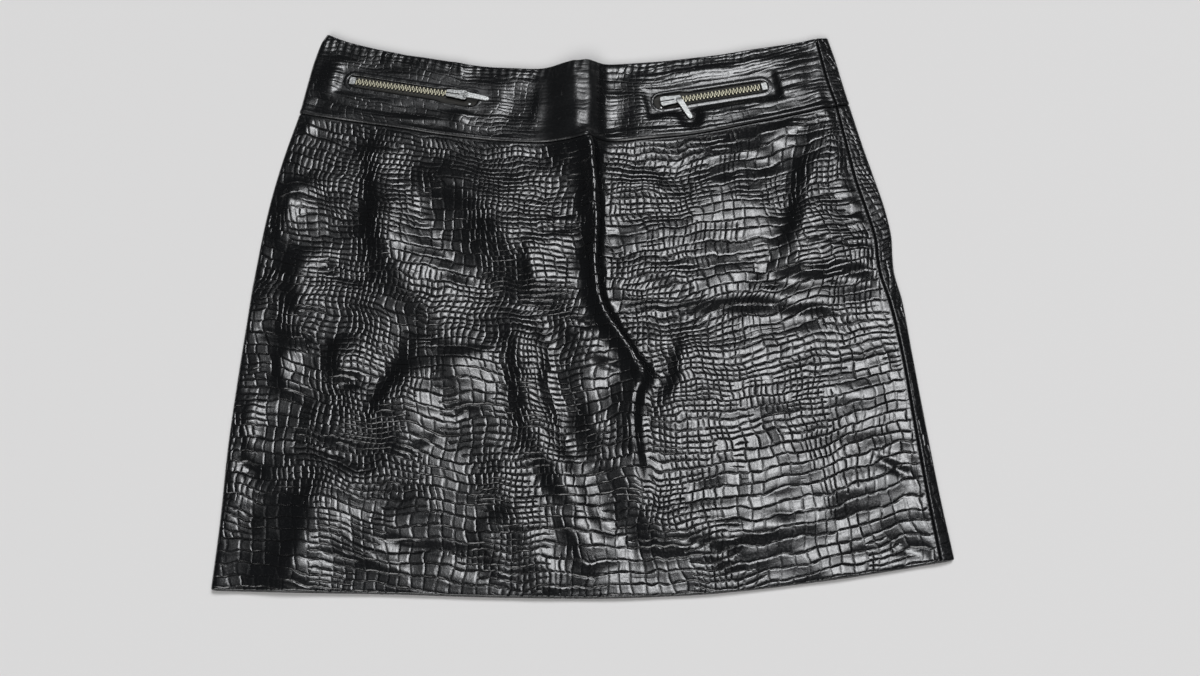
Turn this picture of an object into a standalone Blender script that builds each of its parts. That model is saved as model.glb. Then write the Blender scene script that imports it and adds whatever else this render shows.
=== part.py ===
"""A leather mini skirt laid flat, modelled piece by piece the way it is cut and sewn.

The skirt is a tube lying on its back.  The front yoke and front panel make the upper side and
turn under at the left edge, so their left side seam is on the underside.  The back pieces lie
beneath, turn up round the right edge and meet the front at a side seam that shows on top.
Two slanted pocket zips are let into the front yoke.  Each has a pull tab that swings on its
slider.  The skirt closes with a concealed zip in the centre-back seam.

Sizes and tables are in millimetres; the model itself is in metres, +X to the skirt's right as
it is seen, +Y from the hem to the waist, +Z up.  The underside rests on Z = 0.
"""
import math
from collections import namedtuple

import bmesh
import bpy
from mathutils import Vector

MM = 0.001

# Leather and seams
PANEL_WALL = 1.2
YOKE_WALL = 1.6
YOKE_LIFT = 0.4          # the doubled yoke stands this much prouder than the panel
SEAM_GAP = 0.3
ROLL_RADIUS = 3.1        # outer radius of the panel where it turns under at each side
CENTRE_BACK_SHARE = 0.47  # where the centre-back seam lies across the flattened tube

# Heights of the upper side
EDGE_HEIGHT = 2 * ROLL_RADIUS
SUNK_HEIGHT = 5.0        # where the front panel lies closest to the back
SIDE_FADE = 20.0         # the panel settles over this distance from a rolled side
SEAM_FADE = 18.0         # and over this distance from the yoke seam
FOLD_FADE = 10.0         # folds die out this close to a rolled side
LOWEST_TOP = 3.2         # the front's outer face stays above the back's inner face

# Pocket zips
WINDOW_DEPTH = 8.0
TAPE_WIDTH = 24.0
TAPE_THICKNESS = 0.8
TAPE_OVERRUN = 6.0       # tape hidden past each end of the window
CHAIN_WIDTH = 5.4
CHAIN_HEIGHT = 1.8
SLIDER_LENGTH = 16.0
SLIDER_HEIGHT = 2.9
GROOVE_WIDTH = 0.9
GROOVE_DEPTH = 0.9
WIRE_RADIUS = 0.225      # slider bridge and pull eye
BRIDGE_REACH = 1.65      # from the pull's pin to each leg of the bridge
PIN_RISE = 0.7           # the pull's pin above the slider's top
BRIDGE_RISE = 0.6        # the bridge's crown above the pin
EYE_REACH = 2.15         # from the middle of the pin to each side of the eye
EYE_CORNER = 0.4
BLADE_START = 2.6        # from the pin to where the pull's blade begins
BLADE_THICKNESS = 1.0
PULL_DROOP = 4.5         # degrees that the pull leans down to the leather
STOP_LENGTH = 4.5
STOP_WIDTH = 6.4
STOP_HEIGHT = 2.0
BEAD_HEIGHT = 1.9
EDGE_ROUND = 0.25

# Centre-back closure, inside the tube
BACK_TAPE_WIDTH = 22.0
BACK_TAPE_THICKNESS = 0.7
BACK_TAPE_DROP = 3.0     # below the waist edge
BACK_TAPE_LENGTH = 178.0
BACK_SLIDER_SIZE = (5.0, 9.0, 1.5)
BACK_SLIDER_DROP = 6.0

# Rolled sides of the tube, by share of the way up each piece
Station = namedtuple("Station", "share left_x right_x seam_inset under_reach")
PANEL_STATIONS = [
    Station(0.00, -241.1, 241.1, 9.6, 16.0),
    Station(0.12, -240.5, 236.3, 8.8, 16.0),
    Station(0.27, -241.1, 231.6, 8.0, 16.0),
    Station(0.42, -239.7, 227.4, 7.6, 15.5),
    Station(0.53, -238.1, 224.4, 9.6, 15.0),
    Station(0.59, -237.3, 220.7, 10.6, 15.0),
    Station(0.63, -236.3, 220.5, 11.6, 15.0),
    Station(0.68, -235.1, 221.1, 12.6, 14.5),
    Station(0.75, -232.9, 217.9, 14.2, 14.0),
    Station(0.82, -229.7, 212.5, 14.4, 13.5),
    Station(0.90, -224.7, 206.2, 12.4, 13.0),
    Station(1.00, -216.9, 199.1, 10.4, 12.0),
]
YOKE_STATIONS = [
    Station(0.00, -216.9, 199.1, 10.4, 12.0),
    Station(0.38, -213.1, 194.8, 11.6, 12.0),
    Station(0.65, -210.1, 191.9, 11.4, 12.0),
    Station(0.91, -205.7, 188.4, 10.4, 12.0),
    Station(1.00, -202.5, 187.1, 10.0, 12.0),
]

# Hem, yoke seam and waist edge, by share of the way from the left side to the right
Across = namedtuple("Across", "share hem_y seam_y waist_y")
ACROSS = [
    Across(0.00, -211.9, 145.4, 217.1),
    Across(0.05, -212.6, 141.6, 208.9),
    Across(0.15, -213.6, 134.6, 198.8),
    Across(0.25, -214.5, 126.9, 191.5),
    Across(0.35, -216.0, 121.4, 186.0),
    Across(0.45, -216.9, 118.8, 184.8),
    Across(0.52, -217.1, 118.6, 187.2),
    Across(0.58, -216.3, 120.4, 189.4),
    Across(0.66, -214.4, 122.9, 191.4),
    Across(0.74, -210.8, 127.2, 195.2),
    Across(0.84, -204.7, 136.0, 201.6),
    Across(0.92, -198.8, 145.2, 208.0),
    Across(1.00, -192.4, 154.3, 214.8),
]

# Largest folds of the front.  A crest is a row of (x, y, rise) points; a negative rise is a
# trough.  The widths are how far the fold falls away on each side, walking along the crest.
Fold = namedtuple("Fold", "name crest left_width right_width")
FOLDS = [
    Fold("yoke band", [(5, 100, 4.0), (4, 118, 8.5), (3, 160, 10.5), (2, 190, 11.5)], 20, 9),
    Fold("centre ridge", [(6, 120, 4.5), (11, 80, 9.0), (14, -16, 9.5), (30, -45, 8.5),
                          (45, -68, 7.5)], 7, 13),
    Fold("ridge tail", [(44, -70, 4.0), (34, -95, 6.5), (32, -135, 5.0), (38, -160, 1.5)], 6, 10),
    Fold("short crest", [(71, -44, 4.5), (66, -64, 5.0), (59, -84, 3.0)], 8, 7),
    Fold("diagonal ridge", [(-42, -25, 2.5), (-31, -70, 3.8), (-20, -106, 3.8), (-7, -140, 3.2),
                            (10, -174, 1.5)], 8, 14),
    Fold("diagonal trough", [(-26, -24, -1.2), (-7, -84, -1.6), (10, -118, -1.6),
                             (43, -176, -1.2)], 9, 9),
    Fold("long trough", [(-134, 97, -1.5), (-105, 39, -1.7), (-61, -8, -1.7), (-27, -23, -1.2)],
         13, 10),
    Fold("left crest", [(-152, 113, 3.0), (-150, 70, 3.8), (-145, 29, 2.0)], 9, 10),
    Fold("left edge crest", [(-190, 70, 2.6), (-183, 20, 3.2), (-175, -32, 2.0)], 13, 13),
    Fold("mound", [(-78, 78, 3.0), (-48, 62, 4.2), (-19, 45, 2.6)], 24, 24),
    Fold("lower left crest", [(-160, -94, 1.8), (-107, -58, 2.6), (-49, -47, 1.8)], 9, 9),
    Fold("hem left crest", [(-189, -147, 2.4), (-194, -193, 3.0), (-196, -214, 3.0)], 13, 13),
    Fold("hem middle crest", [(-56, -140, 1.6), (-42, -165, 2.4), (-29, -195, 2.0)], 12, 12),
    Fold("right seam crest", [(180, 138, 2.2), (168, 95, 3.6), (160, 38, 2.2)], 9, 8),
    Fold("side notch trough", [(150, 15, -1.0), (180, 14, -1.7), (212, 14, -1.7)], 6, 6),
    Fold("side notch crest", [(137, 1, 1.8), (170, -1, 2.6), (206, -2, 2.2)], 7, 7),
    Fold("right trough", [(38, -16, -1.0), (95, -16, -1.5), (172, -18, -1.2)], 6, 6),
]
CREST_STEPS = 6          # points put between two named points of a crest

# Runs of columns across the front and of rows up each piece; finer where folds are narrow.
# Pieces that meet along a seam share its rows or columns.
Run = namedtuple("Run", "start end steps")
FRONT_COLUMNS = [Run(0.00, 0.44, 18), Run(0.44, 0.70, 18), Run(0.70, 1.00, 13)]
PANEL_ROWS = [Run(0.00, 0.54, 14), Run(0.54, 0.72, 9), Run(0.72, 1.00, 8)]
YOKE_ROWS = [Run(0.00, 1.00, 7)]
ROLL_STEPS = 6
UNDER_STEPS = 2
STRIP_STEPS = 2
BACK_STEPS = 4

# Pocket zips: middle and angle of the chain and of the window round it.  "nose" is the way the
# slider's wide end points along the chain.  Distances along the chain are from its middle.
Zip = namedtuple("Zip", "name middle angle window_middle window_angle window_length window_width "
                 "nose slider_at hinge_at pull_turn stop_at bead_along bead_across bead_radius")
ZIPS = [
    Zip("left", (-133.7, 166.7), -8.9, (-132.2, 165.4), -10.4, 104.0, 13.4,
        +1, 35.6, +5.7, -2.0, -45.3, 46.8, -6.8, 1.2),
    Zip("right", (95.8, 161.6), 10.3, (94.6, 161.8), 10.3, 90.0, 13.2,
        -1, -32.7, +5.7, -71.3, 39.8, -41.2, -4.8, 0.9),
]

# Half outlines in plan, from one end of the piece to the other
Rib = namedtuple("Rib", "along half_width")
SLIDER_RIBS = [Rib(-8.0, 2.2), Rib(-7.3, 3.0), Rib(-3.0, 3.2), Rib(1.5, 3.6), Rib(4.5, 4.0),
               Rib(6.8, 4.0), Rib(7.8, 3.0), Rib(8.0, 1.8)]
BLADE_RIBS = [Rib(2.6, 2.2), Rib(3.2, 2.35), Rib(5.0, 2.1), Rib(15.5, 1.8), Rib(18.0, 1.6),
              Rib(19.0, 1.1), Rib(19.3, 0.5)]

# Finishes: sRGB colour, roughness, metallic
Finish = namedtuple("Finish", "colour roughness metallic")
FINISHES = {
    "black_leather": Finish((0.085, 0.087, 0.095), 0.32, 0.0),
    "zip_tape": Finish((0.14, 0.14, 0.12), 0.85, 0.0),
    "antique_brass": Finish((0.59, 0.58, 0.49), 0.38, 1.0),
    "nickel": Finish((0.86, 0.87, 0.87), 0.22, 1.0),
}

BODY_TOP = EDGE_HEIGHT + YOKE_LIFT       # the yoke's flat outer face
TAPE_TOP = BODY_TOP - YOKE_WALL - SEAM_GAP
ON_TAPE = TAPE_TOP + SEAM_GAP            # what sits on the tape starts here
SLIDER_TOP = ON_TAPE + SLIDER_HEIGHT


# ---------------------------------------------------------------- scene and helpers

def clear_scene():
    for old in list(bpy.data.objects):
        bpy.data.objects.remove(old, do_unlink=True)


def new_collection(name):
    group = bpy.data.collections.new(name)
    bpy.context.scene.collection.children.link(group)
    return group


def linear(channel):
    """An sRGB channel as the linear value that a shader takes."""
    if channel <= 0.04045:
        return channel / 12.92
    return ((channel + 0.055) / 1.055) ** 2.4


def make_material(name):
    finish = FINISHES[name]
    material = bpy.data.materials.new(name)
    material.use_nodes = True
    shader = material.node_tree.nodes["Principled BSDF"]
    shader.inputs["Base Color"].default_value = (*[linear(c) for c in finish.colour], 1.0)
    shader.inputs["Roughness"].default_value = finish.roughness
    shader.inputs["Metallic"].default_value = finish.metallic
    return material


def add_object(name, data, group, material=None, parent=None, location=(0.0, 0.0, 0.0)):
    """An object in its collection, placed in millimetres under its parent."""
    made = bpy.data.objects.new(name, data)
    made.location = Vector(location) * MM
    made.parent = parent
    group.objects.link(made)
    if material is not None:
        data.materials.append(material)
    return made


def shade_round(mesh, angle=40.0):
    mesh.shade_smooth()
    mesh.set_sharp_from_angle(angle=math.radians(angle))


def ease(value):
    """0 to 1 with no slope at either end."""
    held = min(max(value, 0.0), 1.0)
    return held * held * (3.0 - 2.0 * held)


def steps_of(runs):
    """The shares that a list of runs steps through, each once."""
    shares = [runs[0].start]
    for run in runs:
        for step in range(1, run.steps + 1):
            shares.append(run.start + (run.end - run.start) * step / run.steps)
    return shares


def read_table(rows, column, share):
    """A smooth value of one column at a share, through every row of a table."""
    last = len(rows) - 1
    left = 0
    while left < last - 1 and share > rows[left + 1].share:
        left += 1
    before, start, end, after = (rows[min(max(left + shift, 0), last)] for shift in (-1, 0, 1, 2))
    span = end.share - start.share
    slope_in = (getattr(end, column) - getattr(before, column)) / (end.share - before.share)
    slope_out = (getattr(after, column) - getattr(start, column)) / (after.share - start.share)
    t = (share - start.share) / span
    return (getattr(start, column) * (2 * t**3 - 3 * t**2 + 1)
            + slope_in * span * (t**3 - 2 * t**2 + t)
            + getattr(end, column) * (3 * t**2 - 2 * t**3)
            + slope_out * span * (t**3 - t**2))


# ---------------------------------------------------------------- the flattened tube

def smooth_crest(points):
    """A crest's named points joined by a smooth curve (Catmull-Rom)."""
    known = [Vector(point) for point in points]
    padded = [2 * known[0] - known[1], *known, 2 * known[-1] - known[-2]]
    curve = []
    for first in range(len(known) - 1):
        a, b, c, d = padded[first:first + 4]
        for step in range(CREST_STEPS):
            t = step / CREST_STEPS
            curve.append(0.5 * (2 * b + (c - a) * t + (2 * a - 5 * b + 4 * c - d) * t**2
                                + (3 * b - a - 3 * c + d) * t**3))
    return [*curve, known[-1]]


CRESTS = [(fold, smooth_crest(fold.crest)) for fold in FOLDS]


def fold_rise(fold, curve, x, y):
    """How far one fold lifts or sinks the leather at a place."""
    nearest = None
    for start, end in zip(curve, curve[1:]):
        run = Vector((end.x - start.x, end.y - start.y))
        off = Vector((x - start.x, y - start.y))
        along = min(max(off.dot(run) / run.length_squared, 0.0), 1.0)
        gap = (off - run * along).length
        if nearest is None or gap < nearest[0]:
            side = run.x * off.y - run.y * off.x
            nearest = (gap, side, start.z + (end.z - start.z) * along)
    gap, side, rise = nearest
    width = fold.left_width if side > 0 else fold.right_width
    return rise * math.exp(-(gap / width) ** 2)


def top_height(x, y, from_side, below_seam):
    """The height of the front's outer face; the distances are to a rolled side and the seam."""
    near_side = 1.0 - ease(from_side / SIDE_FADE)
    near_seam = 1.0 - ease(below_seam / SEAM_FADE)
    near = max(near_side, near_seam)
    base = SUNK_HEIGHT + (EDGE_HEIGHT - SUNK_HEIGHT) * near
    folds = sum(fold_rise(fold, curve, x, y) for fold, curve in CRESTS)
    return max(base + folds * ease(from_side / FOLD_FADE), LOWEST_TOP)


class TubeSection:
    """One loop round the flattened tube, at a share of the way up the panel or the yoke."""

    def __init__(self, is_yoke, share):
        self.is_yoke = is_yoke
        self.share = share
        stations = YOKE_STATIONS if is_yoke else PANEL_STATIONS
        self.left = read_table(stations, "left_x", share)
        self.right = read_table(stations, "right_x", share)
        self.inset = read_table(stations, "seam_inset", share)
        self.under = read_table(stations, "under_reach", share)
        self.lift = YOKE_LIFT if is_yoke else 0.0
        self.radius = ROLL_RADIUS + self.lift / 2

    def y_at(self, x):
        across = min(max((x - self.left) / (self.right - self.left), 0.0), 1.0)
        seam = read_table(ACROSS, "seam_y", across)
        if self.is_yoke:
            low = seam + SEAM_GAP / 2
            high = read_table(ACROSS, "waist_y", across)
        else:
            low = read_table(ACROSS, "hem_y", across)
            high = seam - SEAM_GAP / 2
        return low + (high - low) * self.share

    def point(self, x, z):
        return Vector((x, self.y_at(x), z))

    def roll(self, side):
        """The half round at a side, from the top of the tube to the underside."""
        edge = self.right if side > 0 else self.left
        centre = edge - side * self.radius
        turns = [math.pi * step / ROLL_STEPS for step in range(1, ROLL_STEPS)]
        return [self.point(centre + side * self.radius * math.sin(turn),
                           self.radius * (1 + math.cos(turn))) for turn in turns]

    def top(self):
        """The upper side, from the left roll to the side seam on the right."""
        start = self.left + self.radius
        end = self.right - self.inset - SEAM_GAP / 2
        points = []
        for share in steps_of(FRONT_COLUMNS):
            x = start + (end - start) * share
            y = self.y_at(x)
            below = 0.0
            if not self.is_yoke:
                across = (x - self.left) / (self.right - self.left)
                below = read_table(ACROSS, "seam_y", across) - y
            height = top_height(x, y, min(x - start, end - x), below)
            points.append(Vector((x, y, height + self.lift)))
        return points

    def strip(self):
        """The back's strip on the upper side, from the side seam to the right roll."""
        start = self.right - self.inset + SEAM_GAP / 2
        end = self.right - self.radius
        return [self.point(start + (end - start) * step / STRIP_STEPS, 2 * self.radius)
                for step in range(STRIP_STEPS + 1)]

    def underside(self, start, end, steps):
        return [self.point(start + (end - start) * step / steps, 0.0)
                for step in range(steps + 1)]

    def left_seam(self):
        return self.left + self.under

    def centre_back(self):
        return self.left + (self.right - self.left) * CENTRE_BACK_SHARE


def front_loop(section):
    hidden = section.underside(section.left_seam() - SEAM_GAP / 2,
                               section.left + section.radius, UNDER_STEPS)
    return [*hidden, *reversed(section.roll(-1)), *section.top()]


def back_right_loop(section):
    hidden = section.underside(section.right - section.radius,
                               section.centre_back() + SEAM_GAP / 2, BACK_STEPS)
    return [*section.strip(), *section.roll(+1), *hidden]


def back_left_loop(section):
    return section.underside(section.centre_back() - SEAM_GAP / 2,
                             section.left_seam() + SEAM_GAP / 2, BACK_STEPS)


def loft(name, loops, wall, group, material):
    """A cloth wall over rows of points; the points are its outer face."""
    mesh = bpy.data.meshes.new(name)
    maker = bmesh.new()
    rows = [[maker.verts.new(point * MM) for point in loop] for loop in loops]
    for low, high in zip(rows, rows[1:]):
        for corner in range(len(low) - 1):
            maker.faces.new((low[corner], low[corner + 1], high[corner + 1], high[corner]))
    maker.to_mesh(mesh)
    maker.free()
    shade_round(mesh, 60.0)
    cloth = add_object(name, mesh, group, material)
    shell = cloth.modifiers.new("wall", "SOLIDIFY")
    shell.thickness = wall * MM
    shell.offset = -1.0
    return cloth


def cloth_piece(name, is_yoke, runs, loop, group, material):
    loops = [loop(TubeSection(is_yoke, share)) for share in steps_of(runs)]
    return loft(name, loops, YOKE_WALL if is_yoke else PANEL_WALL, group, material)


# ---------------------------------------------------------------- hard pieces

def as_mesh(shape, name):
    """A curve object's evaluated shape as one welded mesh; the curve is removed."""
    bpy.context.view_layer.update()
    graph = bpy.context.evaluated_depsgraph_get()
    mesh = bpy.data.meshes.new_from_object(shape.evaluated_get(graph))
    bpy.data.objects.remove(shape, do_unlink=True)
    mesh.name = name
    maker = bmesh.new()
    maker.from_mesh(mesh)
    bmesh.ops.remove_doubles(maker, verts=maker.verts, dist=1e-6)
    bmesh.ops.recalc_face_normals(maker, faces=maker.faces)
    maker.to_mesh(mesh)
    maker.free()
    return mesh


def plate(name, outline, low, high, group):
    """A flat outline given depth, from one height to another, as a mesh."""
    curve = bpy.data.curves.new(name, "CURVE")
    curve.dimensions = "2D"
    curve.fill_mode = "BOTH"
    curve.extrude = (high - low) / 2 * MM
    spline = curve.splines.new("POLY")
    spline.points.add(len(outline) - 1)
    for knot, (x, y) in zip(spline.points, outline):
        knot.co = (x * MM, y * MM, 0.0, 1.0)
    spline.use_cyclic_u = True
    mesh = as_mesh(add_object(name, curve, group), name)
    for corner in mesh.vertices:
        corner.co.z += (low + high) / 2 * MM
    return mesh


def wire(name, path, radius, group):
    """A round wire along a path, as a mesh."""
    curve = bpy.data.curves.new(name, "CURVE")
    curve.dimensions = "3D"
    curve.bevel_depth = radius * MM
    curve.bevel_resolution = 2
    curve.use_fill_caps = True
    spline = curve.splines.new("POLY")
    spline.points.add(len(path) - 1)
    for knot, place in zip(spline.points, path):
        knot.co = (place[0] * MM, place[1] * MM, place[2] * MM, 1.0)
    return as_mesh(add_object(name, curve, group), name)


def box_mesh(name, size):
    """A plain block about its own middle, as a mesh."""
    mesh = bpy.data.meshes.new(name)
    maker = bmesh.new()
    bmesh.ops.create_cube(maker, size=1.0)
    bmesh.ops.scale(maker, vec=Vector(size) * MM, verts=maker.verts)
    maker.to_mesh(mesh)
    maker.free()
    return mesh


def rounded(target, width):
    edges = target.modifiers.new("rounded edges", "BEVEL")
    edges.width = width * MM
    edges.segments = 2
    edges.limit_method = "ANGLE"
    edges.angle_limit = math.radians(50)
    return edges


def combine(target, tool, operation):
    """A Boolean with a hidden tool object."""
    tool.hide_render = True
    tool.display_type = "WIRE"
    cut = target.modifiers.new(operation.lower(), "BOOLEAN")
    cut.operation = operation
    cut.solver = "EXACT"
    cut.object = tool


def mirrored_outline(ribs):
    """A closed outline from half widths, the same on both sides."""
    near = [(rib.along, -rib.half_width) for rib in ribs]
    return near + [(x, -y) for x, y in reversed(near)]


def stadium(length, width):
    """A slot outline with round ends."""
    radius = width / 2
    reach = length / 2 - radius
    turns = [math.radians(-90 + 180 * step / 8) for step in range(9)]
    right = [(reach + radius * math.cos(turn), radius * math.sin(turn)) for turn in turns]
    return right + [(-x, -y) for x, y in right]


def corner_arc(centre, radius, start, end, steps=3):
    """Points round a corner in a plane, the angles in degrees."""
    turns = [math.radians(start + (end - start) * step / steps) for step in range(steps + 1)]
    return [(centre[0] + radius * math.cos(turn), centre[1] + radius * math.sin(turn))
            for turn in turns]


def cut_window(layout, yoke, cutters):
    """The slot in the yoke that a pocket zip shows through."""
    middle = (*layout.window_middle, BODY_TOP)
    outline = stadium(layout.window_length, layout.window_width)
    shape = plate(f"{layout.name}_window", outline, -WINDOW_DEPTH / 2, WINDOW_DEPTH / 2, cutters)
    cutter = add_object(f"{layout.name}_window_cutter", shape, cutters, location=middle)
    cutter.rotation_euler.z = math.radians(layout.window_angle)
    combine(yoke, cutter, "DIFFERENCE")


def pocket_slider(layout, frame, parts, cutters, material):
    """The slider: a waisted body with a groove, and a bridge that the pull hangs on."""
    name = f"{layout.name}_pocket_slider"
    body = plate(name, mirrored_outline(SLIDER_RIBS), ON_TAPE, SLIDER_TOP, parts)
    shade_round(body)
    slider = add_object(name, body, parts, material, frame, (layout.slider_at, 0.0, 0.0))
    slider.rotation_euler.z = 0.0 if layout.nose > 0 else math.pi
    rounded(slider, EDGE_ROUND)
    hinge = layout.hinge_at * layout.nose
    legs = SLIDER_TOP - 2 * WIRE_RADIUS
    crown = SLIDER_TOP + PIN_RISE + BRIDGE_RISE
    bend = 2 * WIRE_RADIUS
    reach = BRIDGE_REACH
    arch = [(-reach, legs), *corner_arc((bend - reach, crown - bend), bend, 180, 90),
            *corner_arc((reach - bend, crown - bend), bend, 90, 0), (reach, legs)]
    path = [(layout.hinge_at + along, 0.0, height) for along, height in arch]
    bridge = add_object(f"{name}_bridge", wire(f"{name}_bridge", path, WIRE_RADIUS, cutters),
                        cutters, parent=frame, location=(layout.slider_at, 0.0, 0.0))
    combine(slider, bridge, "UNION")
    far_end = -math.copysign(SLIDER_LENGTH / 2, hinge)
    near_end = math.copysign(2.6, hinge)
    size = (abs(far_end - near_end) + 2.0, GROOVE_WIDTH, 2 * GROOVE_DEPTH)
    middle = (far_end + near_end + math.copysign(2.0, far_end)) / 2
    groove = add_object(f"{name}_groove", box_mesh(f"{name}_groove", size), cutters,
                        parent=slider, location=(middle, 0.0, SLIDER_TOP))
    combine(slider, groove, "DIFFERENCE")
    return slider


def pocket_pull(layout, frame, parts, cutters, material):
    """The pull tab: a wire eye round the slider's bridge, and a tapered blade."""
    name = f"{layout.name}_pocket_pull"
    axis = add_object(f"{name}_axis", None, parts, parent=frame,
                      location=(layout.slider_at + layout.hinge_at, 0.0, SLIDER_TOP + PIN_RISE))
    axis.rotation_euler = (0.0, math.radians(PULL_DROOP), math.radians(layout.pull_turn))
    blade = plate(name, mirrored_outline(BLADE_RIBS), -WIRE_RADIUS,
                  BLADE_THICKNESS - WIRE_RADIUS, parts)
    shade_round(blade)
    pull = add_object(name, blade, parts, material, axis)
    rounded(pull, EDGE_ROUND)
    rest = BLADE_START + 2 * WIRE_RADIUS
    side = EYE_REACH
    bend = EYE_CORNER
    loop = [(rest, -side), *corner_arc((bend, bend - side), bend, 270, 180),
            *corner_arc((bend, side - bend), bend, 180, 90), (rest, side)]
    eye = add_object(f"{name}_eye", wire(f"{name}_eye", [(x, y, 0.0) for x, y in loop],
                                         WIRE_RADIUS, cutters), cutters, parent=axis)
    combine(pull, eye, "UNION")
    return pull


def pocket_zip(layout, parts, cutters, materials):
    """Everything of one pocket zip, in the frame of its chain."""
    frame = add_object(f"{layout.name}_zip_frame", None, parts, location=(*layout.middle, 0.0))
    frame.rotation_euler.z = math.radians(layout.angle)
    tail = layout.slider_at - layout.nose * (SLIDER_LENGTH / 2 + SEAM_GAP)
    far = layout.stop_at + layout.nose * (STOP_LENGTH / 2 + SEAM_GAP)
    blocks = [
        ("tape", "zip_tape", (layout.window_length + 2 * TAPE_OVERRUN, TAPE_WIDTH,
                              TAPE_THICKNESS), (0.0, TAPE_TOP - TAPE_THICKNESS / 2)),
        ("chain", "antique_brass", (abs(tail - far), CHAIN_WIDTH, CHAIN_HEIGHT),
         ((tail + far) / 2, ON_TAPE + CHAIN_HEIGHT / 2)),
        ("stop", "nickel", (STOP_LENGTH, STOP_WIDTH, STOP_HEIGHT),
         (layout.stop_at, ON_TAPE + STOP_HEIGHT / 2)),
    ]
    for piece, finish, size, (along, height) in blocks:
        name = f"{layout.name}_pocket_{piece}"
        block = add_object(name, box_mesh(name, size), parts, materials[finish], frame,
                           (along, 0.0, height))
        if finish == "nickel":
            rounded(block, EDGE_ROUND)
    bead_name = f"{layout.name}_pocket_bead"
    bead_mesh = bpy.data.meshes.new(bead_name)
    maker = bmesh.new()
    bmesh.ops.create_cone(maker, cap_ends=True, segments=16, radius1=layout.bead_radius * MM,
                          radius2=layout.bead_radius * 0.8 * MM, depth=BEAD_HEIGHT * MM)
    maker.to_mesh(bead_mesh)
    maker.free()
    add_object(bead_name, bead_mesh, parts, materials["nickel"], frame,
               (layout.bead_along, layout.bead_across, ON_TAPE + BEAD_HEIGHT / 2))
    pocket_slider(layout, frame, parts, cutters, materials["nickel"])
    pocket_pull(layout, frame, parts, cutters, materials["nickel"])


def centre_back_zip(parts, materials):
    """The concealed zip: a tape along the seam inside the tube, and its slider."""
    top = TubeSection(True, 1.0)
    x = top.centre_back()
    waist = top.y_at(x)
    tape_low = YOKE_WALL + SEAM_GAP
    tape = box_mesh("back_zip_tape", (BACK_TAPE_WIDTH, BACK_TAPE_LENGTH, BACK_TAPE_THICKNESS))
    add_object("back_zip_tape", tape, parts, materials["zip_tape"],
               location=(x, waist - BACK_TAPE_DROP - BACK_TAPE_LENGTH / 2,
                         tape_low + BACK_TAPE_THICKNESS / 2))
    on_tape = tape_low + BACK_TAPE_THICKNESS + SEAM_GAP
    slider = add_object("back_zip_slider", box_mesh("back_zip_slider", BACK_SLIDER_SIZE), parts,
                        materials["nickel"],
                        location=(x, waist - BACK_SLIDER_DROP - BACK_SLIDER_SIZE[1] / 2,
                                  on_tape + BACK_SLIDER_SIZE[2] / 2))
    rounded(slider, EDGE_ROUND)


def main():
    clear_scene()
    parts = new_collection("leather_mini_skirt")
    cutters = new_collection("cutters")
    materials = {name: make_material(name) for name in FINISHES}
    leather = materials["black_leather"]
    cloth_piece("front_panel", False, PANEL_ROWS, front_loop, parts, leather)
    yoke = cloth_piece("front_yoke", True, YOKE_ROWS, front_loop, parts, leather)
    cloth_piece("back_panel_right", False, PANEL_ROWS, back_right_loop, parts, leather)
    cloth_piece("back_panel_left", False, PANEL_ROWS, back_left_loop, parts, leather)
    cloth_piece("back_yoke_right", True, YOKE_ROWS, back_right_loop, parts, leather)
    cloth_piece("back_yoke_left", True, YOKE_ROWS, back_left_loop, parts, leather)
    for layout in ZIPS:
        cut_window(layout, yoke, cutters)
        pocket_zip(layout, parts, cutters, materials)
    centre_back_zip(parts, materials)


main()
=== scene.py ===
"""The looks of a leather mini skirt that lies flat.

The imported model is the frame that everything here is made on.  The six leather pieces are made
again as finely divided cloth with all their folds and turned edges, and stand for their solids.
The pocket zips get woven tapes, stamped teeth, turned leather edges and topstitching; their
sliders, stops and pull tabs are the solids themselves with a plated finish.

Tables are in millimetres, in the frame's own axes: +X to the skirt's right as it is seen, +Y
from the hem to the waist, +Z up.  The underside rests on Z = 0.
"""

import math
from collections import namedtuple
from functools import partial, reduce

import bmesh
import bpy
import numpy as np
from mathutils import Matrix, Vector


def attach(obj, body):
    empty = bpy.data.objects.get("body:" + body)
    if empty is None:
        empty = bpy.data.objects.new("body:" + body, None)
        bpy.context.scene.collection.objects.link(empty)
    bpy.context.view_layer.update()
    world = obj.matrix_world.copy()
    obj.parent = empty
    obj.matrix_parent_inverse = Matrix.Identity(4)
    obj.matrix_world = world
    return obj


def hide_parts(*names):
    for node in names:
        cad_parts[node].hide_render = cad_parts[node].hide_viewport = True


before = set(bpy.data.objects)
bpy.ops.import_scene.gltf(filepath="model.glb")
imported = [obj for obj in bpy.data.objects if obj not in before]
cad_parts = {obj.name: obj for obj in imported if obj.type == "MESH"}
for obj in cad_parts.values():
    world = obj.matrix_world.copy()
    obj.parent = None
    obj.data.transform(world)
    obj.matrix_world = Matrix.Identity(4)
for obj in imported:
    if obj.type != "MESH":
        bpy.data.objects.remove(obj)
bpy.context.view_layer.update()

bl_info = {
    "name": "Leather mini skirt",
    "version": (1, 0, 0),
    "blender": (4, 5, 0),
    "location": "3D View > Sidebar > Skirt",
    "description": "Makes the cloth, pocket zips and stage of an embossed leather mini skirt",
    "category": "Object",
}

MM = 0.001

# ---------------------------------------------------------------- the cut of the skirt

PANEL_WALL = 1.1
YOKE_WALL = 1.4
YOKE_LIFT = 0.4
SEAM_GAP = 0.3
ROLL_RADIUS = 3.1
CENTRE_BACK_SHARE = 0.47

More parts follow.
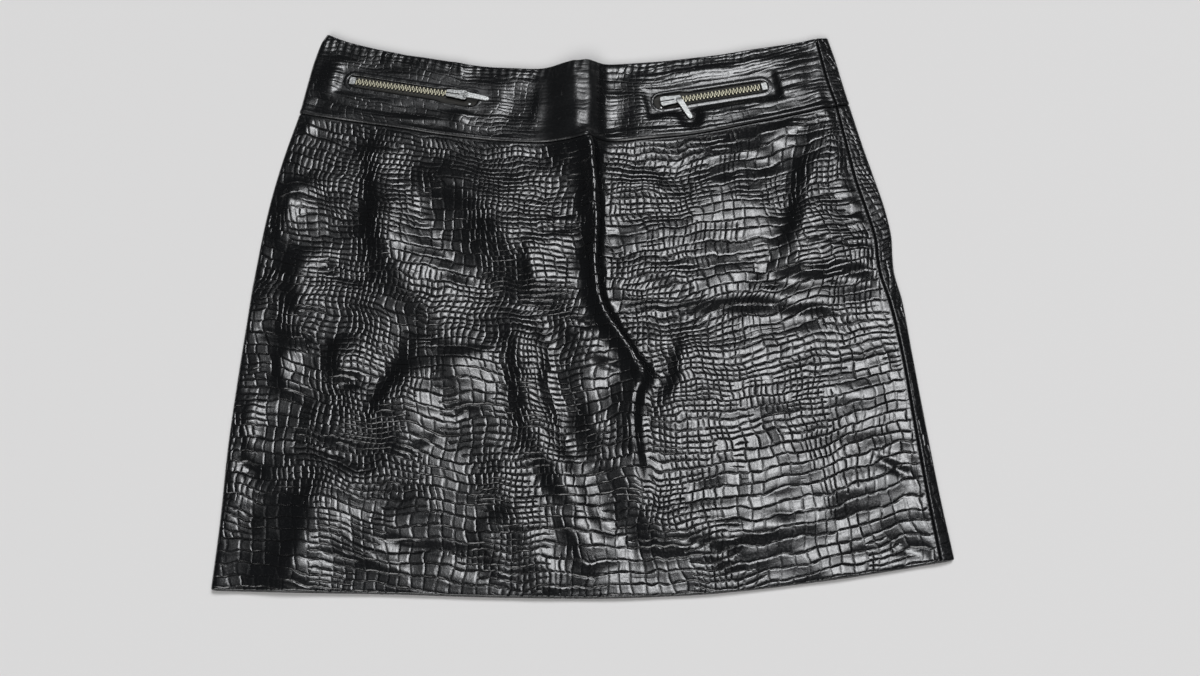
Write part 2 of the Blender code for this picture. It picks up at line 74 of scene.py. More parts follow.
EDGE_HEIGHT = 2 * ROLL_RADIUS
SUNK_HEIGHT = 5.0
SIDE_FADE = 20.0
SEAM_FADE = 18.0
FOLD_FADE = 10.0
LOWEST_TOP = 3.2

Station = namedtuple("Station", "share left_x right_x seam_inset under_reach")
PANEL_STATIONS = [Station(*row) for row in [
    (0.00, -241.1, 241.1, 9.6, 16.0),
    (0.12, -240.5, 236.3, 8.8, 16.0),
    (0.27, -241.1, 231.6, 8.0, 16.0),
    (0.42, -239.7, 227.4, 7.6, 15.5),
    (0.53, -238.1, 224.4, 9.6, 15.0),
    (0.59, -237.3, 220.7, 10.6, 15.0),
    (0.63, -236.3, 220.5, 11.6, 15.0),
    (0.68, -235.1, 221.1, 12.6, 14.5),
    (0.75, -232.9, 217.9, 14.2, 14.0),
    (0.82, -229.7, 212.5, 14.4, 13.5),
    (0.90, -224.7, 206.2, 12.4, 13.0),
    (1.00, -216.9, 199.1, 10.4, 12.0),
]]
YOKE_STATIONS = [Station(*row) for row in [
    (0.00, -216.9, 199.1, 10.4, 12.0),
    (0.38, -213.1, 194.8, 11.6, 12.0),
    (0.65, -210.1, 191.9, 11.4, 12.0),
    (0.91, -205.7, 188.4, 10.4, 12.0),
    (1.00, -202.5, 187.1, 10.0, 12.0),
]]
Across = namedtuple("Across", "share hem_y seam_y waist_y")
ACROSS = [Across(*row) for row in [
    (0.00, -211.9, 145.4, 217.1),
    (0.05, -212.6, 141.6, 208.9),
    (0.15, -213.6, 134.6, 198.8),
    (0.25, -214.5, 126.9, 191.5),
    (0.35, -216.0, 121.4, 186.0),
    (0.45, -216.9, 118.8, 184.8),
    (0.52, -217.1, 118.6, 187.2),
    (0.58, -216.3, 120.4, 189.4),
    (0.66, -214.4, 122.9, 191.4),
    (0.74, -210.8, 127.2, 195.2),
    (0.84, -204.7, 136.0, 201.6),
    (0.92, -198.8, 145.2, 208.0),
    (1.00, -192.4, 154.3, 214.8),
]]

# Large folds, the same as the solids have.  A crest is a row of (x, y, rise) points, and the
# widths are how far it falls away to the left and right of someone who walks along it.
Fold = namedtuple("Fold", "name crest left_width right_width")
FOLDS = [Fold(*row) for row in [
    ("yoke band", [(4, 100, 3.2), (3, 118, 6.4), (2, 160, 7.6), (1, 190, 8.4)], 8, 8.5),
    ("yoke band shoulder", [(-8, 100, 3.2), (-9, 118, 6.6), (-10, 160, 8.2),
                            (-12, 190, 9.0)], 16, 8),
    ("centre ridge", [(1, 120, 3.6), (6, 92, 5.6), (7, 50, 5.4), (7, 15, 5.4),
                      (11, -12, 6.2), (24, -34, 6.6), (40, -61, 4.8)], 3.4, 8),
    ("centre lean", [(2, 122, 0.8), (6, 90, 2.0), (7, 40, 2.2), (10, -10, 1.4)], 4, 75),
    ("ridge tail", [(42, -64, 2.4), (34, -80, 4.0), (33, -100, 3.8), (35, -125, 2.4),
                    (38, -150, 0.8)], 4.5, 12),
    ("short crest", [(70, -34, 1.0), (68, -52, 2.8), (62, -72, 2.8), (54, -88, 1.0)], 16, 6),
    ("diagonal ridge", [(-47, -25, 1.8), (-41, -70, 2.8), (-29, -112, 2.8), (-14, -146, 2.4),
                        (4, -178, 1.2)], 16, 13),
    ("diagonal trough", [(-32, -4, -1.0), (-27, -34, -1.7), (-21, -78, -2.1),
                         (-6, -125, -2.3), (12, -160, -2.0), (30, -184, -1.0)], 13, 7),
    ("diagonal crest", [(-8, -34, 0.4), (3, -84, 0.8), (19, -122, 1.0), (37, -151, 0.9),
                        (50, -176, 0.4)], 20, 8),
    ("long trough", [(-134, 92, -1.6), (-106, 39, -2.0), (-63, -6, -2.0), (-27, -23, -1.4)],
         13, 11),
    ("left crest", [(-154, 104, 2.4), (-152, 70, 4.4), (-148, 44, 3.4), (-144, 22, 1.2)], 27, 9),
    ("diagonal swell", [(-147, 48, 1.4), (-134, 18, 3.6), (-116, -8, 2.2)], 24, 18),
    ("left edge crest", [(-213, 94, 1.4), (-214, 66, 2.4), (-212, 30, 2.4),
                         (-202, -30, 1.3)], 26, 14),
    ("mound", [(-118, 92, 2.0), (-92, 84, 4.4), (-71, 66, 5.6), (-60, 42, 5.4), (-43, 20, 4.0),
               (-18, 4, 1.4)], 30, 17),
    ("lower left crest", [(-160, -92, 0.6), (-107, -60, 1.0), (-52, -48, 0.6)], 18, 14),
    ("hem left crest", [(-182, -147, 1.2), (-187, -193, 1.5), (-189, -214, 1.5)], 26, 22),
    ("hem middle crest", [(-56, -140, 1.6), (-42, -165, 2.4), (-29, -195, 2.0)], 12, 12),
    ("right seam crest", [(180, 138, 2.0), (168, 98, 4.4), (160, 70, 5.2), (154, 38, 2.8)],
         24, 12),
    ("side notch trough", [(130, 7, -0.7), (160, 8, -1.7), (186, 10, -1.7), (208, 7, -1.0)], 5, 9),
    ("side notch crest", [(122, 14, 1.1), (144, 19, 2.3), (162, 19, 2.8), (178, 22, 2.8),
                          (192, 22, 2.4), (207, 19, 1.3)], 32, 9.5),
    ("right trough", [(38, -16, -0.5), (95, -17, -0.9), (172, -19, -0.6)], 5, 12),
]]
# Small creases of the front that only show in the light.  They fade out at both ends.
CREASES = [Fold(*row) for row in [
    # left half: steps that catch the light on their right-hand slopes
    ("yoke corner step", [(-216, 146, 0.6), (-212, 136, 1.2), (-206, 126, 0.7)], 8, 5),
    ("left hollow", [(-163, 108, -0.4), (-161, 64, -0.8), (-158, 20, -0.4)], 9, 9),
    ("edge column step", [(-216, 90, 0.8), (-215, 70, 1.9), (-217, 48, 0.9)], 10, 5),
    ("hip patch step", [(-206, 34, 0.8), (-203, 8, 2.0), (-198, -20, 1.2)], 16, 9),
    ("hip crease high", [(-192, 24, -0.5), (-178, 11, -1.4), (-158, 5, -0.7)], 3, 3),
    ("hip crease low", [(-234, -31, -0.7), (-209, -38, -1.4), (-188, -38, -0.8)], 3, 4),
    ("lower patch step", [(-210, -44, 0.9), (-208, -62, 2.2), (-203, -80, 1.0)], 12, 5),
    ("flat patch step", [(-174, -34, 1.3), (-170, -54, 3.2), (-166, -70, 1.6)], 16, 6),
    ("patch crease", [(-172, -69, -0.7), (-163, -71, -1.3), (-152, -70, -0.6)], 3, 3),
    ("diagonal step", [(-112, -36, 1.0), (-125, -66, 2.8), (-139, -94, 1.8)], 19, 10),
    ("diagonal hollow", [(-127, -38, -0.6), (-139, -66, -1.2), (-150, -92, -0.7)], 10, 8),
    ("edge patch step", [(-232, -94, 0.7), (-228, -108, 1.3), (-222, -124, 0.7)], 8, 5),
    ("edge pinch", [(-236, -122, -0.6), (-224, -130, -1.6), (-212, -135, -0.7)], 3, 5),
    ("lower left hollow", [(-204, -108, -0.7), (-171, -120, -1.5), (-140, -131, -0.8)], 7, 7),
    ("hem patch step", [(-168, -122, 0.9), (-179, -152, 2.1), (-186, -184, 2.3),
                        (-190, -212, 1.8)], 24, 12),
    ("hem left hollow", [(-180, -130, -0.4), (-193, -158, -0.7), (-200, -188, -0.6)], 12, 12),
    ("hem row one", [(-166, -180, 0.6), (-146, -186, 1.1), (-112, -203, 0.7)], 3, 5),
    ("hem lens", [(-134, -177, -0.6), (-117, -183, -1.4), (-98, -185, -1.5),
                  (-72, -187, -0.8)], 4, 6),
    ("middle step", [(-90, -44, 1.2), (-86, -66, 3.2), (-84, -92, 1.6)], 24, 15),
    ("rows step", [(-150, -90, 1.0), (-130, -102, 3.0), (-116, -122, 1.6)], 26, 12),
    ("middle hollow", [(-58, -40, -0.7), (-53, -82, -1.5), (-46, -120, -1.0)], 8, 9),
    ("low middle hollow", [(-38, -118, -0.8), (-24, -145, -1.6), (-4, -168, -0.9)], 6, 8),
    ("hem step one", [(-72, -168, 0.6), (-60, -190, 1.2), (-52, -210, 0.8)], 12, 6),
    ("hem step two", [(-22, -150, 0.6), (-8, -176, 1.3), (4, -206, 0.9)], 11, 6),
    # round the middle ridge
    ("ridge edge", [(0, 118, 0.6), (5, 98, 1.0), (7, 66, 0.8), (6, 36, 1.0), (7, 8, 0.8),
                    (11, -12, 1.0), (24, -34, 0.8), (37, -56, 0.6)], 3, 4),
    ("ridge shade", [(3, 128, 1.0), (5, 106, 2.6), (6, 82, 2.6), (7, 50, 1.4), (8, 18, 1.0),
                     (12, -14, 0.6)], 34, 8),
    ("nick lip", [(-38, 49, 0.5), (-20, 54, 1.2), (-4, 50, 0.6)], 3, 3),
    ("nick", [(-34, 44, -0.5), (-18, 46, -1.5), (-3, 43, -0.7)], 2.5, 2.5),
    ("stripe step", [(-41, 42, 1.0), (-37, 16, 2.2), (-33, -10, 1.4)], 20, 6),
    ("low lens", [(-68, 2, -0.6), (-48, -9, -1.0), (-30, -16, -0.8)], 7, 7),
    ("low nick lip", [(-24, -15, 0.4), (-4, -20, 1.0), (13, -25, 0.7)], 2.5, 2.5),
    ("low nick", [(-18, -22, -0.5), (0, -27, -1.3), (18, -33, -0.8)], 3, 3),
    ("pinch", [(4, -55, -0.7), (22, -60, -1.4), (38, -67, -0.9)], 3, 3),
    ("pinch lip", [(0, -50, 0.5), (20, -54, 0.9), (36, -60, 0.6)], 3, 3),
    ("tail edge", [(40, -66, 0.6), (34, -80, 1.0), (33, -100, 0.9), (35, -128, 0.5)], 2.5, 3),
    # right half: level leather is bright there, and slopes are dark
    ("seam hollow", [(158, 114, -0.6), (150, 84, -1.3), (144, 54, -1.6), (136, 32, -1.0)], 6, 10),
    ("seam crest line", [(174, 118, 0.3), (167, 98, 0.5), (162, 79, 0.6), (158, 58, 0.6),
                         (154, 39, 0.3)], 3, 1.6),
    ("seam pinch one", [(166, 79, 0.5), (186, 78, 0.9), (206, 77, 0.5)], 2.4, 2.4),
    ("seam pinch two", [(165, 68, 0.6), (184, 67, 1.0), (206, 66, 0.7)], 2.4, 2.4),
    ("seam pinch three", [(163, 57, 0.6), (186, 55, 1.2), (208, 55, 0.8)], 2.6, 2.2),
    ("seam pinch four", [(162, 45, 0.6), (186, 43, 1.2), (211, 42, 0.9)], 2.4, 2.4),
    ("seam pinch five", [(161, 34, 0.6), (188, 32, 1.1), (212, 30, 0.8)], 2.6, 2.4),
    ("notch lip", [(128, 16, 0.3), (144, 19, 0.6), (162, 19, 0.7), (178, 22.5, 0.7),
                   (192, 22, 0.6), (206, 19, 0.4)], 12, 2.5),
    ("notch slope", [(106, -4, -0.5), (119, 10, -1.2), (136, 22, -0.7)], 5, 5),
    ("long lip", [(16, 3, 0.8), (44, -6, 2.0), (68, -8, 2.3), (92, -7, 2.4), (113, -4, 2.5),
                  (129, -3, 2.4), (145, -7, 2.3), (163, -9, 1.9), (180, -13, 0.8)], 28, 7.5),
    ("smooth hollow", [(50, 92, -0.8), (84, 104, -2.2), (114, 112, -2.6), (143, 102, -1.8),
                       (153, 82, -0.8)], 9, 17),
    ("arc lip", [(16, 66, 0.7), (30, 84, 1.6), (56, 80, 0.9)], 8, 6),
    ("arc hollow", [(34, 108, -0.5), (57, 93, -1.0), (80, 78, -0.6)], 5, 7),
    ("long swell", [(24, 38, 0.6), (58, 34, 1.2), (92, 20, 0.7)], 15, 6),
    ("long swell low", [(22, 18, 0.5), (52, 13, 1.0), (84, 9, 0.5)], 12, 5),
    ("hem crease lip", [(44, -175, 0.5), (75, -175, 1.0), (94, -179, 1.0), (119, -172, 1.2),
                        (147, -170, 1.1), (168, -173, 0.5)], 16, 5),
    ("hem shade", [(34, -166, 0.7), (60, -168, 1.8), (100, -171, 2.0), (134, -166, 0.9)], 12, 26),
    ("hem ripple one", [(44, -180, 0.5), (75, -186, 1.0), (106, -199, 0.5)], 3, 4),
    ("seam pinch low", [(193, -124, -0.5), (208, -131, -1.3), (222, -140, -0.9)], 3, 4),
    ("seam pinch low lip", [(190, -117, 0.4), (206, -124, 0.9), (220, -132, 0.6)], 3, 3),
    ("corner hollow", [(196, -180, -0.6), (214, -186, -1.3), (230, -192, -0.8)], 6, 5),
    ("right wave one", [(100, -44, 0.5), (150, -50, 1.0), (200, -46, 0.5)], 16, 8),
    ("right wave two", [(112, -78, 0.5), (160, -84, 1.0), (208, -78, 0.5)], 16, 9),
    ("right wave three", [(128, -112, 0.4), (166, -106, 0.8), (200, -104, 0.4)], 15, 9),
    ("right wave four", [(100, -142, 0.4), (150, -148, 0.8), (196, -140, 0.4)], 15, 9),
    # yoke
    ("yoke pucker left", [(-42, 126, 0.4), (-36, 150, 0.9), (-34, 178, 0.5)], 5, 5),
    ("yoke dip left", [(-62, 130, -0.3), (-56, 150, -0.7), (-56, 172, -0.3)], 7, 7),
    ("yoke swell right", [(36, 134, 0.4), (42, 160, 0.8), (40, 182, 0.4)], 7, 7),
    ("yoke streak low", [(62, 149, 0.5), (100, 153, 1.2), (140, 161, 1.2),
                         (168, 168, 0.5)], 3.5, 6),
    ("yoke streak high", [(60, 180, 0.5), (96, 184, 1.1), (130, 190, 1.0),
                          (160, 196, 0.5)], 3.5, 6),
    ("yoke end wave", [(164, 152, -0.5), (170, 172, -1.1), (170, 196, -0.6)], 6, 7),
    ("yoke fall right", [(26, 124, 1.0), (90, 128, 3.5), (150, 140, 3.5), (184, 150, 1.8)], 44, 6),
    ("yoke end crest", [(178, 160, 0.5), (178, 176, 1.0), (175, 194, 0.6)], 5, 5),
    ("yoke left streak", [(-190, 146, 0.4), (-146, 141, 1.0), (-104, 136, 0.5)], 4, 4),
    ("yoke left step", [(-98, 134, 0.5), (-92, 146, 1.3), (-88, 152, 0.6)], 9, 6),
    ("yoke top step", [(-102, 180, 0.5), (-96, 184, 1.2), (-90, 186, 0.6)], 10, 6),
    ("yoke left wave", [(-198, 156, 0.4), (-194, 176, 0.9), (-190, 198, 0.5)], 7, 5),
    ("yoke waist step", [(-160, 190, 0.4), (-150, 194, 0.9), (-140, 196, 0.5)], 8, 6),
]]
CREASE_FADE = 9.0        # over this length at both ends,
CREASE_START = 0.15      # from this share of their rise
# Shallow hollows of the underside, where the leather lifts off what it lies on.
BACK_CREASES = [Fold(*row) for row in [
    ("seat hollow", [(-120, 90, 0.6), (-70, 84, 0.9), (-34, 96, 0.5)], 16, 14),
    ("seat crease", [(40, 70, 0.5), (90, 52, 0.8), (150, 60, 0.5)], 7, 9),
    ("long hollow", [(30, 10, 0.5), (60, -60, 0.9), (74, -130, 0.6)], 10, 12),
    ("left long hollow", [(-150, 20, 0.5), (-132, -60, 0.8), (-140, -130, 0.5)], 12, 9),
    ("hem hollow", [(-70, -150, 0.5), (-60, -180, 0.8), (-64, -210, 0.6)], 9, 9),
    ("hem hollow right", [(150, -120, 0.4), (164, -160, 0.8), (160, -198, 0.5)], 10, 8),
    ("side crease", [(120, -20, 0.4), (160, -30, 0.7), (204, -26, 0.5)], 5, 6),
    ("left side crease", [(-216, -40, 0.4), (-190, -34, 0.7), (-160, -42, 0.4)], 5, 6),
    ("yoke hollow", [(60, 140, 0.4), (70, 160, 0.7), (66, 186, 0.4)], 9, 9),
]]
CREST_STEPS = 6
BACK_LIFT_LIMIT = 1.1
BACK_SWELL = 0.6         # as a share of the front's
WINDOW_FLAT = 2.5        # the leather has no small creases this far round a zip window, or
PULL_FLAT = 2.5          # this far from the middle line of a pull tab that lies on it,
WINDOW_FADE = 6.0        # and takes them up over these lengths
PULL_FADE = 9.0

# Fineness of the made cloth
YOKE_LENGTH = 68.0       # from the seam between the levels to the waist
PANEL_LENGTH = 330.0     # and to the hem
GRID_STEP = 2.0          # between columns and rows
EDGE_OFFSETS = (0.0, 0.3, 0.7, 1.2, 1.7, 2.3, 3.1, 4.2)  # columns and rows close to a seam
ROLL_STEPS = 14
TURN_ANGLES = (165, 140, 115, 90, 65, 40, 20)  # round the folded edge of the hem and waist
HEM_RADIUS = 1.2
SEAM_DIP = 0.6           # how far a seamed edge turns down
SEAM_DIP_WIDTH = 1.1
LIP_FROM_EDGE = 2.3
LIP_REACH = 2.2
LIP_RISE = 0.34
STRIP_ROLL = 0.72        # the right side's roll, as a share of the left's
STRIP_LEAN = math.radians(14)
STRIP_STEP = 1.6
STRIP_LEVEL = 1.2        # beside its seam, before it falls away
CLOTH_MIDDLE = 12.0      # the x that the cloth's grain is measured from

# Soft unevenness of hide, as plain waves laid over each other
WAVE_COUNT = 26
WAVE_LENGTHS = (24.0, 62.0)
WAVE_SEED = 5
WANDER_LENGTHS = (18.0, 60.0)
WANDER_REACH = 1.3

# Pocket zips, as in the solids
BODY_TOP = EDGE_HEIGHT + YOKE_LIFT
TAPE_TOP = 4.7
ON_TAPE = 5.0
TAPE_OVERRUN = 6.0
TAPE_THICKNESS = 0.6
TAPE_ROWS = 60
CHAIN_WIDTH = 5.4
CHAIN_HEIGHT = 1.75
TOOTH_SUNK = 0.1         # into the tape
TOOTH_ROUND = 0.22
TOOTH_SHARP = 50         # degrees between faces that meet in an edge
SLIDER_LENGTH = 16.0
UNDER_SLIDER = 0.4       # how far the teeth run on under it
STOP_LENGTH = 4.5
STOP_GAP = 0.2
Zip = namedtuple("Zip", "name middle angle window_middle window_angle window_length window_width "
                 "nose slider_at stop_at pull")
ZIPS = [  # pull is the two ends of its tab's middle line
    Zip("left", (-133.7, 166.7), -8.9, (-132.2, 165.4), -10.4, 104.0, 13.4, +1, 35.6, -45.3,
        ((-92.9, 160.3), (-74.3, 157.0))),
    Zip("right", (95.8, 161.6), 10.3, (94.6, 161.8), 10.3, 90.0, 13.2, -1, -32.7, 39.8,
        ((69.2, 156.8), (77.8, 140.6))),
]
# The turned leather edge round a zip window: outward from the cut edge, and height
LIP_PROFILE = [(0.25, 4.85), (-0.1, 5.3), (-0.15, 5.95), (0.05, 6.5), (0.5, 6.8), (1.0, 6.86),
               (1.6, 6.76), (2.2, 6.68), (2.7, 6.55), (2.4, 6.2), (0.8, 5.2)]
LIP_LEAN = 1.6           # how far it leans in over the tape,
LIP_LEAN_FROM = 9.0      # this far away from the slider and more
LIP_RIPPLE = 0.06
LIP_RIPPLES = 23
LIP_RIPPLED_FROM = 6.4   # the height above which it ripples
LIP_STEP = 1.2
LIP_GIRTH = 8            # of its leather, over the edge
WINDOW_STEP = 1.5
CUTTER_BELOW = 3.5
CUTTER_HEIGHT = 9.0
TOPSTITCH_OUT = 2.3      # from the cut edge
STITCH_WIDTH = 0.6
STITCH_GAP = 0.7
STITCH_DIP = 0.35
STITCH_RISE = 0.16       # of its middle line over the leather
# Across a zip tape: from its middle, and height above its flat part
HALF_TAPE = [(2.5, 0.0), (2.9, 0.3), (3.4, 0.42), (3.9, 0.3), (4.3, 0.0), (8.0, 0.0), (12.0, 0.0)]
TAPE_PROFILE = [*((-out, rise) for out, rise in reversed(HALF_TAPE)), (0.0, 0.0), *HALF_TAPE]
# The yoke's grain is stretched flat by its windows, and over its fold at the waist's middle.
WINDOW_STRETCH = 0.5
FOLD_MIDDLE = -14.0
FOLD_REACH = 20.0
FOLD_EASE = 8.0
FOLD_GRAIN = 1.3
FREE_GRAIN = 3.0         # more than on the fold
# Painted shade: the slider's plating is painted dark below this height, in its groove and down its
# sides.
SLIDER_SHADE_BELOW = 7.6         # its plating is darkened below this height

FILL_TURN = (47.3, 0.0, -10.6)  # so that the low panel looks at the skirt
COOL_LIGHT = (0.97, 0.98, 1.0)
WHITE_LIGHT = (1.0, 1.0, 1.0)
FLOOR_REACH = 40.0       # metres to each side
FLOOR_DROP = -0.0004     # metres, so that no leather cuts through it

# ---------------------------------------------------------------- colours and nodes

def linear(hex_colour):
    """An sRGB hex colour as the linear values that a shader takes."""
    channels = [int(hex_colour[i:i + 2], 16) / 255 for i in (0, 2, 4)]
    return tuple(c / 12.92 if c <= 0.04045 else ((c + 0.055) / 1.055) ** 2.4 for c in channels)


def feed(tree, node, inputs):
    """Sets or links a node's inputs: a row of values in the order of its sockets, or a dict by
    socket name.  A value may be another node or one of its outputs."""
    pairs = inputs.items() if isinstance(inputs, dict) else enumerate(inputs)
    for key, value in pairs:
        if isinstance(value, bpy.types.Node):
            value = value.outputs[0]
        if isinstance(value, bpy.types.NodeSocket):
            tree.links.new(value, node.inputs[key])
        else:
            node.inputs[key].default_value = value


def add_node(tree, kind, inputs=(), **settings):
    """A shader node with its settings and links."""
    made = tree.nodes.new("ShaderNode" + kind)
    for key, value in settings.items():
        setattr(made, key, value)
    feed(tree, made, inputs)
    return made


class Finish:
    """A new material, and short names for the nodes that it is made of."""

    def __init__(self, name, roughness, metallic=0.0):
        self.material = bpy.data.materials.new(name)
        self.material.use_nodes = True
        self.tree = self.material.node_tree
        self.add = partial(add_node, self.tree)
        self.surface({"Roughness": roughness, "Metallic": metallic})

    def surface(self, inputs, glaze=None):
        """Feeds the surface itself.  A glaze is a thin clear coat with the same bumps."""
        feed(self.tree, self.tree.nodes["Principled BSDF"], inputs)
        if glaze is not None:
            self.surface({"Coat Normal": inputs["Normal"], "IOR": 1.5, "Coat Weight": glaze,
                          "Coat Roughness": 0.14})
        return self.material

    def calc(self, operation, *values, **settings):
        return self.add("Math", values, operation=operation, **settings)

    def times(self, *values, **settings):
        return self.calc("MULTIPLY", *values, **settings)

    def total(self, *pairs, start=0.0):
        """A start plus pairs of a value and its factor."""
        for value, factor in pairs:
            start = self.calc("MULTIPLY_ADD", value, factor, start)
        return start

    def ramp(self, value, low, high, to_low, to_high, kind="LINEAR"):
        return self.add("MapRange", [value, low, high, to_low, to_high], interpolation_type=kind)

    def noise(self, place, size, detail, dimensions="2D", **inputs):
        """Soft noise with features of a size, in the unit of the place."""
        return self.add("TexNoise", {"Vector": place, "Scale": 1 / size, "Detail": detail,
                                     **inputs}, noise_dimensions=dimensions)

    def stretched_noise(self, place, sizes, detail, dimensions="2D", **inputs):
        scale = [1 / size for size in sizes]
        return self.noise(self.add("Mapping", {"Vector": place, "Scale": scale, **inputs}), 1.0,
                          detail, dimensions)

    def parts(self, node):
        """Three noises that have nothing to do with each other, out of one node."""
        return self.add("SeparateColor", [node.outputs["Color"]]).outputs

    def dice(self, *tile):
        """One throw for each tile, by its column and row."""
        return self.add("TexWhiteNoise", [self.add("CombineXYZ", tile)], noise_dimensions="2D")

    def mix(self, factor, low, high):
        low, high = (end if isinstance(end, bpy.types.NodeSocket) else (*end, 1.0)
                     for end in (low, high))
        return self.add("Mix", {"Factor": factor, "A": low, "B": high},
                        data_type="RGBA").outputs["Result"]

    def bump(self, height, distance, strength=1.0):
        return self.add("Bump", {"Height": height, "Strength": strength,
                                 "Distance": distance * MM})


def croc_leather(name, look, tile_width, tile_height, drift_tiles, press=1.0, smooth_edge=4.0,
                 rolls_apart=13.0, rolls_rise=0.9, waist=None):
    """Chrome-tanned cowhide, dyed black, pressed with a crocodile plate and glazed.

    The hot plate leaves glossy domed tiles between narrow dull grooves, so light breaks up tile
    by tile, and the hide's own fine grain still shows inside each tile.  press is the share of the
    full depth, and the grain is stretched flat within smooth_edge of a seam.  A waist edge,
    given by its height on the flat cloth, is gathered a little.
    """
    made = Finish(name, 0.3)
    calc, times, total, ramp = made.calc, made.times, made.total, made.ramp
    cloth = made.add("UVMap", uv_map="cloth")
    x, y = made.add("SeparateXYZ", [cloth]).outputs[:2]
    # The plate's rows and columns wander over about 60 mm, and again by a little over 16 mm.
    slow, quick, fine = (made.parts(made.noise(cloth, size, 1.0)) for size in (60, 16, 4.5))
    rows = total((y, 1 / tile_height), (slow[0], drift_tiles), (quick[0], 0.5), (fine[0], 0.07))
    row = calc("FLOOR", rows)
    # Columns run on through a few rows, then step aside.
    row_shift = made.add("TexNoise", {"W": times(row, 0.37), "Scale": 1.0, "Detail": 1.0},
                         noise_dimensions="1D")
    columns = total((x, 1 / tile_width), (slow[1], drift_tiles), (quick[1], 0.5), (fine[1], 0.1),
                    (row_shift, 1.2))
    column = calc("FLOOR", columns)
    # Distance to the nearest groove and to the middle of a tile, in tiles
    to_row, to_column = (calc("PINGPONG", tiles, 0.5) for tiles in (rows, columns))
    half_row, half_column = (calc("SUBTRACT", 0.5, reach) for reach in (to_row, to_column))
    # Where tiles are low or narrow, each big tile is cut again along its middle.  Like a hide's
    # flanks, that is more often so in upright bands, 115 mm apart, and less so by the hem.  The
    # shares are where the patches of small tiles start.
    patches = made.parts(made.noise(cloth, 55, 1.0, Distortion=0.4))
    flank = calc("COSINE", calc("MULTIPLY_ADD", x, 2 * math.pi / 115, -3.3))
    belly = calc("ADD", ramp(y, -310.0, -230.0, -0.16, 0.0), ramp(x, 115.0, 165.0, 0.0, -0.16))
    bands = calc("MULTIPLY_ADD", flank, 0.13, belly)
    low, narrow = (ramp(calc("ADD", bands, patch), start, start + 0.05, 0.0, 1.0, "SMOOTHSTEP")
                   for patch, start in zip(patches, (0.39, 0.41)))
    # Grooves are pressed unevenly, so some neighbouring tiles run together.  Each kind has its
    # distance, its width of just under 1 mm, its depth, and the share of it that is pressed.
    uneven = ramp(fine[2], 0.3, 0.6, 0.65, 1.0)
    column_press = times(ramp(made.dice(calc("ROUND", columns), row), 0.0, 0.8, 0.1, 0.9),
                         ramp(patches[2], 0.42, 0.58, 0.4, 1.0))
    row_press = ramp(made.dice(column, calc("ROUND", rows)), 0.0, 0.5, 0.65, 1.0)
    grooves = [(to_row, 0.95 / tile_height, 1.0, row_press),
               (to_column, 0.78 / tile_width, 1.0, column_press),
               (half_row, 0.88 / tile_height, 1.0, low),
               (half_column, 0.74 / tile_width, 0.9, narrow)]
    groove = reduce(partial(calc, "MAXIMUM"), [times(ramp(away, 0.0, width, deep, 0.0), share)
                                               for away, width, deep, share in grooves])
    groove = calc("POWER", times(groove, uneven), 1.3)
    # By a seam the hammered edge is smooth and a little duller, and beside a side seam its
    # stitches, 3.2 mm apart, pucker it.
    to_seam, to_side = made.add("SeparateXYZ", [made.add("UVMap", uv_map="to_seam")]).outputs[:2]
    open_grain = ramp(to_seam, 0.8, smooth_edge, 0.25, 1.0)
    groove = times(groove, open_grain)
    pucker = times(calc("SINE", times(y, 2 * math.pi / 3.2)), ramp(to_side, 0.3, 2.6, 1.0, 0.0))
    # Each tile is rounded off towards its grooves, over about 1.9 mm, and leans its own way.
    edges = [(to_row, half_row, low, tile_height), (to_column, half_column, narrow, tile_width)]
    dome = times(*[ramp(calc("MINIMUM", away, calc("ADD", half, calc("SUBTRACT", 1.0, cut))),
                        0.0, 1.9 / size, 0.0, 1.0, "SMOOTHERSTEP")
                   for away, half, cut, size in edges])
    leaning = calc("ADD", *[times(calc("SUBTRACT", calc("FRACT", tiles), 0.5),
                                  calc("SUBTRACT", lean, 0.5))
                            for tiles, lean in zip((rows, columns),
                                                   made.parts(made.dice(column, row)))])
    # Fine upright lines, 1.2 mm apart, the hide's own pores, about 1.5 mm apart, and its soft
    # rolls along the rows
    lines = made.stretched_noise(cloth, (1.2, 5.5, 1.0), 2.0)
    pores = made.noise(cloth, 1.5, 2.0, Roughness=0.6)
    rolls = made.stretched_noise(cloth, (48, rolls_apart, 1.0), 1.0)
    depth = press * look.emboss_depth / MM
    height = total((groove, -depth), (times(dome, open_grain), depth * 0.36),
                   (times(leaning, open_grain), depth * 1.6), (lines, depth * 0.08),
                   (pores, depth * 0.13), (rolls, rolls_rise), (pucker, depth * 0.3))
    if waist:
        gather = calc("SINE", calc("MULTIPLY_ADD", x, 2 * math.pi / 6.0, times(slow[2], 12.0)))
        gather = times(gather, ramp(y, waist - 16.0, waist - 6.0, 0.0, 1.0))
        height = total((gather, depth * 0.5), start=height)
    worn = made.mix(made.noise(cloth, 35, 3.0), look.dye, look.rubbed)
    dull = reduce(partial(calc, "ADD"), [ramp(groove, 0.0, 1.0, look.gloss_roughness, 0.28),
                                         ramp(pores, 0.42, 0.7, 0.0, 0.09),
                                         ramp(to_seam, 1.2, 3.0, 0.1, 0.0)])
    # Painted shade: the grooves are painted a darker colour than the dyed tiles around them.
    return made.surface({"Base Color": made.mix(groove, worn, look.groove), "Roughness": dull,
                         "Normal": made.bump(height, 1.0)}, look.glaze)


def turned_leather(look):
    """The same hide skived thin and turned over an edge: the turn stretches the grain flat, so
    it is smoother and evenly glossy, with only fine wrinkles across it."""
    made = Finish("turned_edge_leather", 0.24)
    wrinkles = made.stretched_noise(made.add("UVMap", uv_map="cloth"), (1.6, 5.0, 1.0), 3.0)
    return made.surface({"Base Color": made.mix(wrinkles, look.dye, look.rubbed),
                         "Normal": made.bump(wrinkles, 0.15, 0.7)}, look.glaze)


